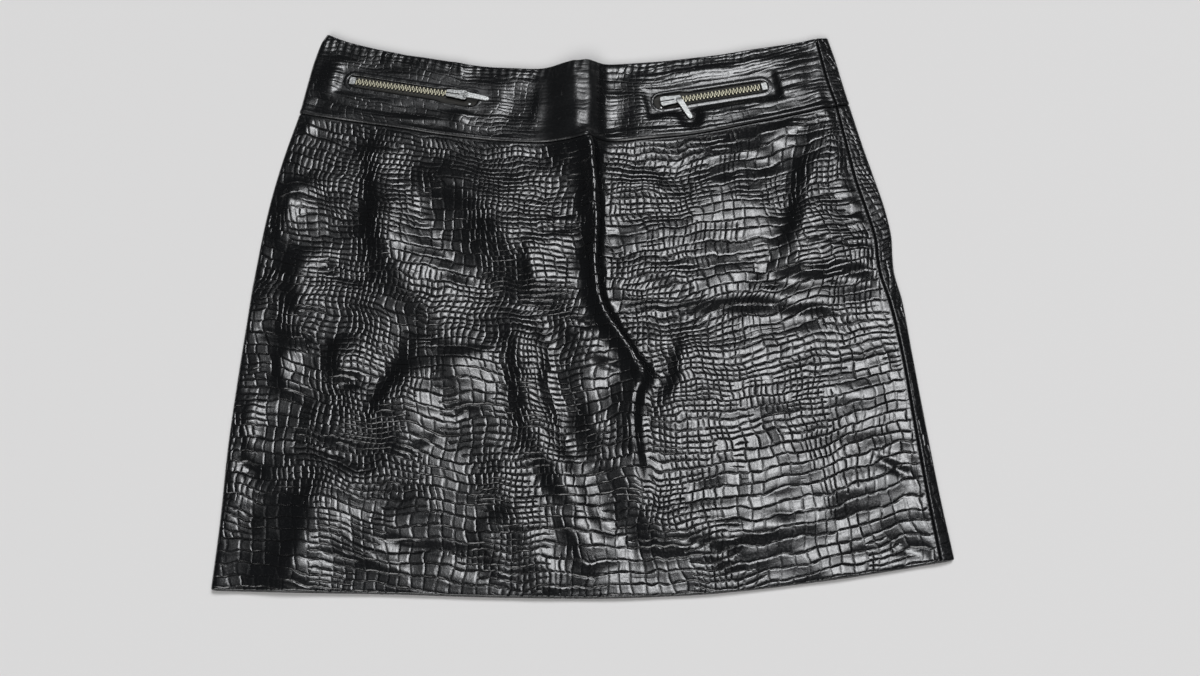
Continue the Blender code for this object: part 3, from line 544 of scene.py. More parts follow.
def bonded_thread():
    """Bonded polyester sewing thread, 0.5 mm thick: a soft waxy shine, and a slanted twist that
    shows as fine ribs 0.6 mm apart."""
    made = Finish("bonded_polyester_thread", 0.42)
    twist = made.add("TexWave", {"Vector": made.add("TexCoord").outputs["Object"],
                                 "Scale": 0.31 / (0.6 * MM), "Distortion": 1.0},
                     bands_direction="DIAGONAL")
    return made.surface({"Base Color": made.mix(twist, linear("17181a"), linear("2e3033")),
                         "Normal": made.bump(twist, 0.08, 0.6), "Sheen Weight": 0.2})


def woven_tape(look):
    """Polyester zip tape woven in a herringbone: matt, with slanted ribs that turn every 2.4 mm.
    The real threads are 0.3 mm apart; they are drawn 0.6 mm apart, so that they show."""
    made = Finish("woven_polyester_tape", 0.85)
    cloth = made.add("UVMap", uv_map="cloth")
    x, y = made.add("SeparateXYZ", [cloth]).outputs[:2]
    slant = made.calc("ADD", x, made.calc("PINGPONG", y, 2.4))
    ribs = made.ramp(made.calc("PINGPONG", slant, 0.6), 0.0, 0.6, 0.0, 1.0, "SMOOTHSTEP")
    fuzz = made.noise(cloth, 0.35, 2.0)
    return made.surface({"Base Color": made.mix(ribs, linear("151411"), look.tape_colour),
                         "Normal": made.bump(made.total((fuzz, 0.35), start=ribs), 0.12, 0.8),
                         "Sheen Weight": 0.35})


def antique_brass(look):
    """Stamped brass teeth, blackened and then tumbled: the tops are rubbed back to pale metal
    and the low parts stay brown."""
    made = Finish("antique_brass", 0.34, 1.0)
    place = made.add("TexCoord").outputs["Object"]
    height = made.add("SeparateXYZ", [place]).outputs[2]
    spots = made.noise(place, 0.9 * MM, 3.0, "3D")
    rubbed = made.ramp(height, (ON_TAPE + 0.5) * MM, (ON_TAPE + 1.5) * MM, 0.0, 1.0)
    rubbed = made.times(made.times(rubbed, spots), 1.5, use_clamp=True)
    return made.surface({"Base Color": made.mix(rubbed, linear("3d3b31"), look.brass_colour),
                         "Roughness": made.ramp(spots, 0.3, 0.7, 0.42, 0.60),
                         "Normal": made.bump(spots, 0.05, 0.5)})


def bright_nickel(look, name="bright_nickel_plate", painted_shade_below=0.0):
    """Die-cast zinc, tumbled and nickel plated: a bright mirror softened by the casting's fine
    dimples and by handling marks.  Below a given height the plating is painted dark: painted
    shade in the slider's groove and down its sides."""
    made = Finish(name, 0.4, 1.0)
    place = made.add("TexCoord").outputs["Object"]
    dimples = made.noise(place, 1.3 * MM, 2.0, "3D")
    marks = made.stretched_noise(place, (3.0 * MM, 0.25 * MM, 0.6 * MM), 2.0, "3D",
                                 Rotation=(0.0, 0.0, 0.6))
    height = made.add("SeparateXYZ", [place]).outputs[2]
    # Painted shade: below the given height the plating's colour goes to near black.
    low = made.ramp(height, (painted_shade_below - 0.35) * MM, painted_shade_below * MM, 0.0, 1.0)
    plating = made.mix(marks, look.nickel_colour, linear("77797a"))
    return made.surface({"Base Color": made.mix(low, linear("101011"), plating),
                         "Roughness": made.ramp(marks, 0.35, 0.7, 0.42, 0.60),
                         "Normal": made.bump(dimples, 0.3)})


def seamless_paper(look):
    """Matt seamless paper, pale and even, with a faint fibre."""
    made = Finish("matt_paper", 0.95)
    fibre = made.noise(made.add("TexCoord").outputs["Object"], 2.0 * MM, 2.0, "3D")
    return made.surface({"Base Color": (*look.floor_colour, 1.0),
                         "Normal": made.bump(fibre, 0.05, 0.15), "Specular IOR Level": 0.15})


def leather(look, is_yoke):
    """The panels' or the yoke's leather, made the first time that a piece asks for it."""
    if is_yoke:  # low, long tiles drawn out in rows
        name = "croc_leather_yoke"
        cut = dict(tile_width=1.4 * look.tile_width / MM, tile_height=0.8 * look.tile_height / MM,
                   drift_tiles=1.8, press=0.75, smooth_edge=9.0, rolls_apart=9.0, rolls_rise=1.0,
                   waist=YOKE_LENGTH)
    else:
        name = "croc_leather_panel"
        cut = dict(tile_width=look.tile_width / MM, tile_height=look.tile_height / MM,
                   drift_tiles=2.1)
    return bpy.data.materials.get(name) or croc_leather(name, look, **cut)


# ---------------------------------------------------------------- the flattened tube

def ease(value):
    """0 to 1 with no slope at either end."""
    held = np.clip(value, 0.0, 1.0)
    return held * held * (3.0 - 2.0 * held)


def read_table(rows, column, share):
    """Smooth values of one column at the shares, through every row of a table."""
    at = np.array([row.share for row in rows])
    value = np.array([getattr(row, column) for row in rows])
    left = np.searchsorted(at[1:-1], share, side="left")
    before, right, after = np.maximum(left - 1, 0), left + 1, np.minimum(left + 2, len(rows) - 1)
    span = at[right] - at[left]
    slope_in = (value[right] - value[before]) / (at[right] - at[before])
    slope_out = (value[after] - value[left]) / (at[after] - at[left])
    t = (share - at[left]) / span
    return (value[left] * (2 * t**3 - 3 * t**2 + 1) + slope_in * span * (t**3 - 2 * t**2 + t)
            + value[right] * (3 * t**2 - 2 * t**3) + slope_out * span * (t**3 - t**2))


def smooth_crest(points):
    """A crest's named points joined by a smooth curve (Catmull-Rom)."""
    known = np.array(points, dtype=float)
    padded = np.vstack([2 * known[0] - known[1], known, 2 * known[-1] - known[-2]])
    curve = []
    for first in range(len(known) - 1):
        a, b, c, d = padded[first:first + 4]
        for step in range(CREST_STEPS):
            t = step / CREST_STEPS
            curve.append(0.5 * (2 * b + (c - a) * t + (2 * a - 5 * b + 4 * c - d) * t**2
                                + (3 * b - a - 3 * c + d) * t**3))
    return np.array([*curve, known[-1]])


def wander(x, y):
    """Moves places a little, so that nothing pressed or folded by them runs dead straight."""
    return (x + waves(x, y, WANDER_REACH, WANDER_LENGTHS, WAVE_SEED + 1),
            y + waves(x, y, WANDER_REACH, WANDER_LENGTHS, WAVE_SEED + 2))


def from_line(x, y, start, end):
    """How far places are along a line, as a share, how far from it, and how far to its left."""
    run_x, run_y = end[0] - start[0], end[1] - start[1]
    off_x, off_y = x - start[0], y - start[1]
    along = np.clip((off_x * run_x + off_y * run_y) / (run_x**2 + run_y**2), 0.0, 1.0)
    across = (run_x * off_y - run_y * off_x) / math.hypot(run_x, run_y)
    return along, np.hypot(off_x - run_x * along, off_y - run_y * along), across


def folds_rise(folds, x, y, fade=0.0):
    """How far a list of folds lifts or sinks the leather at each place."""
    x, y = wander(x, y)
    total = np.zeros_like(x)
    for fold in folds:
        curve = smooth_crest(fold.crest)
        if fade:
            reach = np.append(0.0, np.cumsum(np.hypot(*np.diff(curve[:, :2], axis=0).T)))
            curve[:, 2] *= ease(np.minimum(reach, reach[-1] - reach) / fade + CREASE_START)
        gap = np.full_like(x, 1e9)
        side, rise = np.zeros_like(x), np.zeros_like(x)
        for start, end in zip(curve, curve[1:]):
            along, distance, across = from_line(x, y, start, end)
            closer = distance < gap
            gap = np.where(closer, distance, gap)
            side = np.where(closer, across / np.maximum(distance, 1e-6), side)
            rise = np.where(closer, start[2] + (end[2] - start[2]) * along, rise)
        width = fold.right_width + (fold.left_width - fold.right_width) * (1 + side) / 2
        total += rise * np.exp(-(gap / width) ** 2)
    return total


def waves(x, y, height, lengths, seed):
    """Plain waves of many lengths and directions laid over each other, seeded."""
    dice = np.random.default_rng(seed)
    total = np.zeros_like(x)
    for _ in range(WAVE_COUNT):
        turn = dice.uniform(0, math.pi)
        length = dice.uniform(*lengths)
        start = dice.uniform(0, 2 * math.pi)
        along = x * math.cos(turn) + y * math.sin(turn)
        total += length / lengths[1] * np.sin(2 * math.pi * along / length + start)
    return height * total / math.sqrt(WAVE_COUNT)


def spread(start, end, fine_start=False, fine_end=False, step=GRID_STEP):
    """Places from start to end, one row for each section, closer together by a seamed edge."""
    way = np.sign(end - start)
    fine = np.array(EDGE_OFFSETS)
    low = start + way * fine[-1] if fine_start else start
    high = end - way * fine[-1] if fine_end else end
    count = max(int(round(float(np.abs(high - low).max()) / step)), 1)
    places = low + (high - low) * np.linspace(0, 1, count + 1)
    if fine_start:
        places = np.hstack([start + way * fine[:-1], places])
    if fine_end:
        places = np.hstack([places, end - way * fine[:-1][::-1]])
    return places


class ClothTube:
    """The sections of one level of the tube, panels or yoke, one row for each section."""

    def __init__(self, is_yoke):
        self.is_yoke = is_yoke
        length = YOKE_LENGTH if is_yoke else PANEL_LENGTH
        fine = np.array(EDGE_OFFSETS) / length
        steps = np.linspace(fine[-1], 1.0, int(length / GRID_STEP))
        shares = np.hstack([fine[:-1], steps])  # from the seam between the levels
        turns = np.radians(TURN_ANGLES)
        if is_yoke:
            self.share = np.hstack([shares, np.ones(len(turns))])[:, None]
            self.turn = np.hstack([0 * shares, turns[::-1]])[:, None]
        else:
            self.share = np.hstack([np.zeros(len(turns)), (1 - shares)[::-1]])[:, None]
            self.turn = np.hstack([turns, 0 * shares])[:, None]
        self.from_seam = (self.share if is_yoke else 1 - self.share) * length
        stations = YOKE_STATIONS if is_yoke else PANEL_STATIONS
        self.left = read_table(stations, "left_x", self.share)
        self.right = read_table(stations, "right_x", self.share)
        self.inset = read_table(stations, "seam_inset", self.share)
        self.under = read_table(stations, "under_reach", self.share)
        self.lift = YOKE_LIFT if is_yoke else 0.0
        self.radius = ROLL_RADIUS + self.lift / 2
        self.left_seam = self.left + self.under
        self.centre_back = self.left + (self.right - self.left) * CENTRE_BACK_SHARE

    def y_at(self, x):
        across = np.clip((x - self.left) / (self.right - self.left), 0.0, 1.0)
        seam = read_table(ACROSS, "seam_y", across)
        turned = HEM_RADIUS * (1 - np.sin(self.turn))
        if self.is_yoke:
            low = seam + SEAM_GAP / 2
            edge = read_table(ACROSS, "waist_y", across)
            flat = low + (edge - HEM_RADIUS - low) * self.share
            return np.where(self.turn > 0, edge - turned, flat)
        high = seam - SEAM_GAP / 2
        edge = read_table(ACROSS, "hem_y", across)
        flat = edge + HEM_RADIUS + (high - edge - HEM_RADIUS) * self.share
        return np.where(self.turn > 0, edge + turned, flat)

    def top_height(self, x, start, end, swell):
        """The height of the front's outer face, with every fold and crease."""
        y = self.y_at(x)
        from_side = np.minimum(x - start, end - x)
        near = 1.0 - ease(from_side / SIDE_FADE)
        below = 0.0 if self.is_yoke else self.from_seam
        near = np.maximum(near, 1.0 - ease(below / SEAM_FADE))
        base = SUNK_HEIGHT + (EDGE_HEIGHT - SUNK_HEIGHT) * near
        folds = folds_rise(FOLDS, x, y) * ease(from_side / FOLD_FADE)
        height = np.maximum(base + folds, LOWEST_TOP)
        small = (folds_rise(CREASES, x, y, CREASE_FADE)
                 + waves(x, y, swell, WAVE_LENGTHS, WAVE_SEED))
        if self.is_yoke:
            for layout in ZIPS:
                small *= ease((from_window(x, y, layout) - WINDOW_FLAT) / WINDOW_FADE)
                small *= ease((from_line(x, y, *layout.pull)[1] - PULL_FLAT) / PULL_FADE)
        return height + self.lift + small * ease(from_side / FOLD_FADE)

    def flat(self, x, height, facing):
        """A run of columns at one height that face straight up or down."""
        ones = np.ones_like(x)
        return x, height * ones, 0 * ones, facing * ones

    def roll(self, side, turns, radius=None):
        """The half round at a side; turns are angles from straight up."""
        radius = radius or self.radius
        edge = self.right if side > 0 else self.left
        centre = edge - side * radius
        lean = side * np.sin(turns) + 0 * edge
        rise = np.cos(turns) + 0 * edge
        return centre + radius * lean, radius * (1 + rise), lean, rise

    def under_height(self, x, swell):
        y = self.y_at(x)
        lifted = folds_rise(BACK_CREASES, x, y, CREASE_FADE)
        soft = waves(x, y, BACK_SWELL * swell, WAVE_LENGTHS, WAVE_SEED + 3)
        return np.clip(lifted + np.maximum(soft, 0.0), 0.0, BACK_LIFT_LIMIT)


def front_runs(tube, swell):
    turns = np.linspace(math.pi, 0, ROLL_STEPS + 1)
    hidden = spread(tube.left_seam - SEAM_GAP / 2, tube.left + tube.radius, fine_start=True)
    start = tube.left + tube.radius
    end = tube.right - tube.inset - SEAM_GAP / 2
    top = spread(start, end, fine_end=True)
    return [tube.flat(hidden[:, :-1], 0.0, -1), tube.roll(-1, turns[:-1]),
            tube.flat(top, tube.top_height(top, start, end, swell), 1)]


def back_right_runs(tube, swell):
    # The strip that shows past the side seam falls away from it, into a tighter roll.
    radius = tube.radius * STRIP_ROLL
    turns = np.linspace(STRIP_LEAN, math.pi, ROLL_STEPS + 1)
    start = tube.right - tube.inset + SEAM_GAP / 2
    end = tube.right - radius * (1 - math.sin(STRIP_LEAN))
    strip = spread(start, end, fine_start=True, step=STRIP_STEP)[:, :-1]
    low = radius * (1 + math.cos(STRIP_LEAN))
    beyond = np.maximum(strip - start - STRIP_LEVEL, 0.0) / (end - start - STRIP_LEVEL)
    falling = 2 * tube.radius + (low - 2 * tube.radius) * beyond
    under = spread(tube.right - radius, tube.centre_back + SEAM_GAP / 2, fine_end=True,
                   step=2 * GRID_STEP)
    fade = ease((tube.right - tube.radius - under) / FOLD_FADE)
    return [tube.flat(strip, falling, 1), tube.roll(+1, turns[:-1], radius),
            tube.flat(under, tube.under_height(under, swell) * fade, -1)]


def back_left_runs(tube, swell):
    under = spread(tube.centre_back - SEAM_GAP / 2, tube.left_seam + SEAM_GAP / 2,
                   fine_start=True, fine_end=True, step=2 * GRID_STEP)
    return [tube.flat(under, tube.under_height(under, swell), -1)]


def from_window(x, y, layout):
    """How far places are outside a pocket zip's window."""
    turn = math.radians(layout.window_angle)
    off_x, off_y = x - layout.window_middle[0], y - layout.window_middle[1]
    along = np.abs(off_x * math.cos(turn) + off_y * math.sin(turn)) - layout.window_length / 2
    across = np.abs(off_y * math.cos(turn) - off_x * math.sin(turn)) - layout.window_width / 2
    return np.maximum(np.maximum(along, across), 0.0)


def from_stretched(x, y):
    """How far the front yoke's places are from where its grain is stretched flat: round the
    windows, and less so over the fold at the middle of the waist."""
    near = [WINDOW_STRETCH * from_window(x, y, layout) for layout in ZIPS]
    fold = FOLD_GRAIN + FREE_GRAIN * ease((np.abs(x - FOLD_MIDDLE) - FOLD_REACH) / FOLD_EASE)
    return np.minimum.reduce([*near, fold])


def lengths_along(places, axis):
    """How far each place is along its row or column of the cloth."""
    steps = np.linalg.norm(np.diff(places, axis=axis), axis=2)
    shape = list(places.shape[:2])
    shape[axis] = 1
    return np.concatenate([np.zeros(shape), np.cumsum(steps, axis=axis)], axis=axis)


def cloth_piece(name, is_yoke, runs, look, stretched=None):
    """One leather piece as finely divided cloth.  Its seamed edges turn down into the seam, and
    its hem or waist edge turns over and back inside."""
    tube = ClothTube(is_yoke)
    x, z, lean, rise = (np.hstack(parts) for parts in zip(*runs(tube, look.swell / MM)))
    y = tube.y_at(x)
    places = np.stack([x, y, z], axis=2)
    along = lengths_along(places, 1)
    to_edge = np.minimum(along, along[:, -1:] - along)
    dip = SEAM_DIP * (1 - ease(to_edge / SEAM_DIP_WIDTH))
    dip = np.maximum(dip, SEAM_DIP * (1 - ease(tube.from_seam / SEAM_DIP_WIDTH)))
    if is_yoke:  # its folded lower edge stands up as a thin lip
        lip = 1 - np.abs(tube.from_seam - LIP_FROM_EDGE) / LIP_REACH
        dip -= LIP_RISE * ease(lip)
    inward = dip + HEM_RADIUS * (1 - np.cos(tube.turn))
    places[:, :, 0] -= lean * inward
    places[:, :, 2] -= rise * inward
    up = lengths_along(places, 0)
    up -= up[-1:] if not is_yoke else up[:1]
    middle = int(np.argmin(np.abs(x[-1] - CLOTH_MIDDLE)))
    cloth = np.stack([along - along[:, middle:middle + 1] + CLOTH_MIDDLE, up], axis=2)
    to_seam = np.minimum(to_edge, tube.from_seam)
    if stretched:
        to_seam = np.minimum(to_seam, stretched(x, y))
    return thicken(grid_object(name, places, leather(look, is_yoke), cloth=cloth,
                               to_seam=np.stack([to_seam, to_edge], axis=2)),
                   YOKE_WALL if is_yoke else PANEL_WALL)


def thicken(piece, thickness):
    """Gives a piece its wall, inward from the outer face."""
    wall = piece.modifiers.new("thickness", "SOLIDIFY")
    wall.thickness = thickness * MM
    wall.offset = -1.0
    return piece


def link_object(name, data, place=(0.0, 0.0, 0.0), turn=(0.0, 0.0, 0.0)):
    made = bpy.data.objects.new(name, data)
    made.location = place
    made.rotation_euler = [math.radians(angle) for angle in turn]
    bpy.context.scene.collection.objects.link(made)
    return made


def mesh_object(name, places, faces, material):
    """A smooth mesh of places in metres."""
    mesh = bpy.data.meshes.new(name)
    mesh.from_pydata(places.tolist(), [], faces)
    mesh.materials.append(material)
    mesh.shade_smooth()
    return link_object(name, mesh)


def grid_object(name, places, material, closed=False, **maps):
    """A mesh from rows of places in millimetres, with its maps: cloth is where each place is on
    the flat cloth, and to_seam is how far it is from any seam and from a side seam."""
    rows, columns = places.shape[:2]
    number = np.arange(rows * columns).reshape(rows, columns)
    if closed:
        number = np.vstack([number, number[:1]])
    corners = np.stack([number[:-1, :-1], number[:-1, 1:], number[1:, 1:], number[1:, :-1]],
                       axis=2).reshape(-1, 4)
    piece = mesh_object(name, places.reshape(-1, 3) * MM, corners.tolist(), material)
    for key, values in maps.items():
        layer = piece.data.uv_layers.new(name=key)
        layer.uv.foreach_set("vector", values.reshape(-1, 2)[corners.ravel()].ravel())
    return piece


def dress(piece, slot, *nodes, body="skirt"):
    """Puts a piece on its body and lets it stand for solids, which it hides; slot is not used."""
    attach(piece, body)
    if nodes:
        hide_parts(*nodes)


def plate(node, material):
    """Gives a solid its finish."""
    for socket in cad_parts[node].material_slots:
        socket.material = material


# ---------------------------------------------------------------- zip windows and their edges

def stadium_path(length, width, step):
    """Points round a slot with round ends, and the outward direction at each, evenly spaced."""
    radius, reach = width / 2, (length - width) / 2
    around = 4 * reach + 2 * math.pi * radius
    count = int(round(around / step))
    points = []
    for place in np.arange(count) * around / count:
        half, rest = divmod(place, around / 2)
        sign = 1 - 2 * half
        if rest < 2 * reach:
            point, out = (rest - reach, -radius), (0.0, -1.0)
        else:
            turn = (rest - 2 * reach) / radius - math.pi / 2
            point = (reach + radius * math.cos(turn), radius * math.sin(turn))
            out = (math.cos(turn), math.sin(turn))
        points.append((sign * point[0], sign * point[1], sign * out[0], sign * out[1]))
    return np.array(points), around


def in_zip_frame(places, middle, angle):
    """Places along and across a zip, in the skirt's own frame."""
    turn = math.radians(angle)
    x = middle[0] + places[..., 0] * math.cos(turn) - places[..., 1] * math.sin(turn)
    y = middle[1] + places[..., 0] * math.sin(turn) + places[..., 1] * math.cos(turn)
    return np.stack([x, y, places[..., 2]], axis=-1)


def prism(outline, bottom, height):
    """A solid raised from an outline, still open to changes."""
    maker = bmesh.new()
    floor = maker.faces.new([maker.verts.new((x * MM, y * MM, bottom * MM)) for x, y in outline])
    raised = bmesh.ops.extrude_face_region(maker, geom=[floor])["geom"]
    bmesh.ops.translate(maker, vec=(0, 0, height * MM),
                        verts=[v for v in raised if isinstance(v, bmesh.types.BMVert)])
    bmesh.ops.recalc_face_normals(maker, faces=maker.faces)
    return maker


def finished_mesh(name, maker):
    mesh = bpy.data.meshes.new(name)
    maker.to_mesh(mesh)
    maker.free()
    return mesh


def cut_window(yoke, layout):
    """Cuts the slot that a pocket zip shows through."""
    path, _ = stadium_path(layout.window_length, layout.window_width, WINDOW_STEP)
    flat = np.column_stack([path[:, :2], np.zeros(len(path))])
    ring = in_zip_frame(flat, layout.window_middle, layout.window_angle)
    maker = prism(ring[:, :2], BODY_TOP - CUTTER_BELOW, CUTTER_HEIGHT)
    cutter = link_object("window_cutter", finished_mesh("window_cutter", maker))
    cut = yoke.modifiers.new("window", "BOOLEAN")
    cut.operation, cut.solver, cut.object = "DIFFERENCE", "EXACT", cutter
    return cutter


def apply_modifiers(piece):
    """Makes a piece's mesh what its modifiers make of it."""
    bpy.context.view_layer.update()
    graph = bpy.context.evaluated_depsgraph_get()
    made = bpy.data.meshes.new_from_object(piece.evaluated_get(graph))
    piece.modifiers.clear()
    piece.data = made


def window_lip(layout, material):
    """The turned leather edge round a window, as one closed ring."""
    path, around = stadium_path(layout.window_length, layout.window_width, LIP_STEP)
    profile = np.array([*LIP_PROFILE, LIP_PROFILE[0]])
    ripple = np.sin(np.arange(len(path)) * 2 * math.pi / len(path) * LIP_RIPPLES)[:, None]
    out, rise = profile[:, 0][None, :], profile[:, 1][None, :]
    away = np.abs(path[:, 0:1] - layout.slider_at)
    lean = LIP_LEAN * ease((away - LIP_LEAN_FROM) / LIP_LEAN_FROM)
    out = out - lean * (1 - np.clip(out / profile[:, 0].max(), 0.0, 1.0))
    flat = np.stack([path[:, 0:1] + path[:, 2:3] * out, path[:, 1:2] + path[:, 3:4] * out,
                     rise + LIP_RIPPLE * ripple * (rise > LIP_RIPPLED_FROM)], axis=2)
    places = in_zip_frame(flat, layout.window_middle, layout.window_angle)
    along = np.arange(len(path))[:, None] * around / len(path)
    cloth = np.stack([along + 0 * rise, np.linspace(0, LIP_GIRTH, len(profile)) + 0 * along],
                     axis=2)
    return grid_object(f"{layout.name}_window_lip", places[::-1], material, closed=True,
                       cloth=cloth[::-1])


def repeat_shape(name, shape, placings, material):
    """One mesh of many copies of a small shape."""
    corners = np.array([v.co for v in shape.vertices])
    faces = [list(face.vertices) for face in shape.polygons]
    places, every = [], []
    for number, placing in enumerate(placings):
        turn = np.array(placing.to_3x3())
        places.append(corners @ turn.T + np.array(placing.translation))
        every += [[v + number * len(corners) for v in face] for face in faces]
    return mesh_object(name, np.vstack(places), every, material)


def stitch_shape(length):
    """One stitch: a soft capsule of thread that dips in at both ends."""
    maker = bmesh.new()
    bmesh.ops.create_uvsphere(maker, u_segments=8, v_segments=6, radius=STITCH_WIDTH / 2 * MM,
                              matrix=Matrix.Rotation(math.pi / 2, 4, "Y"))
    for corner in maker.verts:
        corner.co.x += math.copysign(length / 2 - STITCH_WIDTH / 2 * MM, corner.co.x)
        corner.co.z -= STITCH_DIP * MM * (abs(corner.co.x) / (length / 2)) ** 3
    return finished_mesh("stitch", maker)


def topstitching(layout, thread, length):
    """The row of stitches round a window, just outside its turned edge."""
    path, _ = stadium_path(layout.window_length + 2 * TOPSTITCH_OUT,
                           layout.window_width + 2 * TOPSTITCH_OUT, length / MM + STITCH_GAP)
    turn = math.radians(layout.window_angle)
    placings = []
    for x, y, out_x, out_y in path:
        spot = in_zip_frame(np.array([x, y, BODY_TOP + STITCH_RISE]), layout.window_middle,
                            layout.window_angle)
        placings.append(Matrix.Translation(Vector(spot) * MM)
                        @ Matrix.Rotation(math.atan2(out_x, -out_y) + turn, 4, "Z"))
    return repeat_shape(f"{layout.name}_window_topstitch", stitch_shape(length), placings, thread)


def tooth_shape():
    """One stamped tooth: a bar clenched on the tape, with a wider rounded head."""
    half = CHAIN_WIDTH / 2
    outline = [(-0.62, -half), (0.62, -half), (0.58, -1.5), (0.40, -1.1), (0.42, 0.8),
               (0.34, 1.35), (-0.34, 1.35), (-0.42, 0.8), (-0.40, -1.1), (-0.58, -1.5)]
    maker = prism(outline, 0.0, CHAIN_HEIGHT)
    top = [e for e in maker.edges if all(v.co.z > 0.5 * CHAIN_HEIGHT * MM for v in e.verts)]
    bmesh.ops.bevel(maker, geom=top, offset=TOOTH_ROUND * MM, segments=2, profile=0.6,
                    affect="EDGES")
    return finished_mesh("tooth", maker)


def zip_teeth(layout, brass, pitch):
    """Two rows of teeth that interlock between the slider and the stop."""
    tail = layout.slider_at - layout.nose * (SLIDER_LENGTH / 2 - UNDER_SLIDER)
    far = layout.stop_at + layout.nose * (STOP_LENGTH / 2 + STOP_GAP)
    low, high = sorted((tail, far))
    to_frame = (Matrix.Translation(Vector((*layout.middle, ON_TAPE - TOOTH_SUNK)) * MM)
                @ Matrix.Rotation(math.radians(layout.angle), 4, "Z"))
    placings = []
    for number in range(int((high - low) / (pitch / MM / 2))):
        side = number % 2
        along = Matrix.Translation(((low * MM + (number + 0.5) * pitch / 2), 0, 0))
        placings.append(to_frame @ along @ Matrix.Rotation(math.pi * side, 4, "Z"))
    made = repeat_shape(f"{layout.name}_zip_teeth", tooth_shape(), placings, brass)
    made.data.set_sharp_from_angle(angle=math.radians(TOOTH_SHARP))
    return made


def zip_tape(layout, material):
    """The woven tape behind the teeth, with the cord that they are clenched on."""
    half = layout.window_length / 2 + TAPE_OVERRUN
    along = np.linspace(-half, half, TAPE_ROWS)[:, None]
    profile = np.array(TAPE_PROFILE)
    across, rise = profile[:, 0][None, :], profile[:, 1][None, :]
    flat = np.stack([along + 0 * across, across + 0 * along, TAPE_TOP + rise + 0 * along], axis=2)
    places = in_zip_frame(flat, layout.middle, layout.angle)
    return thicken(grid_object(f"{layout.name}_woven_tape", places[:, ::-1], material,
                               cloth=flat[:, ::-1, :2]), TAPE_THICKNESS)


# ---------------------------------------------------------------- settings

def setting(name, description, default, least=0.0, **settings):
    return bpy.props.FloatProperty(name=name, description=description, default=default, min=least,
                                   **settings)


def colour(name, description, default):
    return bpy.props.FloatVectorProperty(name=name, description=description, subtype="COLOR",
                                         default=linear(default), min=0.0, max=1.0)


metres = partial(setting, unit="LENGTH")
watts = partial(setting, unit="POWER")
fraction = partial(setting, max=1.0, subtype="FACTOR")


class SkirtLeatherLook(bpy.types.PropertyGroup):
    """Sizes and colours of the leather."""
    tile_width: metres("Tile width", "Usual width of an embossed tile on the panels", 0.0082,
                       0.002)
    tile_height: metres("Tile height", "Usual height of an embossed tile", 0.0084, 0.002)
    emboss_depth: metres("Emboss depth", "Depth of the grooves between tiles", 0.00028)
    swell: metres("Hide swell", "Height of the soft unevenness of the hide", 0.0008)
    glaze: fraction("Glaze", "How much of the clear glazed finish shows", 0.1)
    gloss_roughness: fraction("Tile roughness", "Roughness of a tile's polished top", 0.2, 0.05)
    dye: colour("Dye", "Colour of the dyed leather", "070809")
    rubbed: colour("Rubbed", "Colour where the finish is rubbed", "101113")
    # Painted shade: the darker colour painted down in the grooves.
    groove: colour("Groove", "Colour down in the grooves", "030304")


class SkirtZipLook(bpy.types.PropertyGroup):
    """Sizes and colours of the pocket zips."""
    tooth_pitch: metres("Tooth pitch", "From one tooth to the next on the same side", 0.0028,
                        0.0005)
    stitch_length: metres("Stitch length", "Length of one stitch round a window", 0.0028, 0.001)
    brass_colour: colour("Teeth", "Colour of the rubbed tops of the teeth", "bfbba6")
    nickel_colour: colour("Hardware", "Colour of the plated slider, pull and stops", "b4b5b3")
    tape_colour: colour("Tape", "Colour of the woven tape", "2c2b27")


class SkirtStageLook(bpy.types.PropertyGroup):
    """Light and floor."""
    floor_colour: colour("Floor", "Colour of the floor", "dbdad9")
    key_power: watts("Key light", "Power of the large soft light", 870.0)
    bright_power: watts("Bright light", "Power of the smaller light in the large one", 400.0)
    dim_power: watts("Dim light", "Power of the faint wide light to the left", 36.0)
    fill_power: watts("Fill light", "Power of the low soft light in front", 705.0)
    room: setting("Room light", "Strength of the even light from all round", 0.045)


# ---------------------------------------------------------------- operators

class SKIRT_OT_front_panel(bpy.types.Operator):
    """Makes the front panel"""
    bl_idname = "skirt.front_panel"
    bl_label = "Front panel"

    def execute(self, context):
        piece = cloth_piece("front_panel_cloth", False, front_runs, context.scene.skirt_leather)
        dress(piece, "leather", "front_panel")
        return {"FINISHED"}


class SKIRT_OT_front_yoke(bpy.types.Operator):
    """Makes the front yoke with its two zip windows"""
    bl_idname = "skirt.front_yoke"
    bl_label = "Front yoke"

    def execute(self, context):
        piece = cloth_piece("front_yoke_cloth", True, front_runs, context.scene.skirt_leather,
                            from_stretched)
        cutters = [cut_window(piece, layout) for layout in ZIPS]
        apply_modifiers(piece)
        for cutter in cutters:
            bpy.data.objects.remove(cutter)
        dress(piece, "leather", "front_yoke")
        return {"FINISHED"}


class SKIRT_OT_back_pieces(bpy.types.Operator):
    """Makes the two back panels and the two back yokes"""
    bl_idname = "skirt.back_pieces"
    bl_label = "Back panels and yokes"

    def execute(self, context):
        cuts = [
            ("back_panel_right", False, back_right_runs, (0.29, 0.35), 0.094),
            ("back_panel_left", False, back_left_runs, (0.22, 0.36), 0.069),
            ("back_yoke_right", True, back_right_runs, (0.24, 0.10), 0.0161),
            ("back_yoke_left", True, back_left_runs, (0.19, 0.09), 0.0120),
        ]
        for node, is_yoke, runs, flat, area in cuts:
            piece = cloth_piece(node + "_cloth", is_yoke, runs, context.scene.skirt_leather)
            dress(piece, "leather", node)
        return {"FINISHED"}


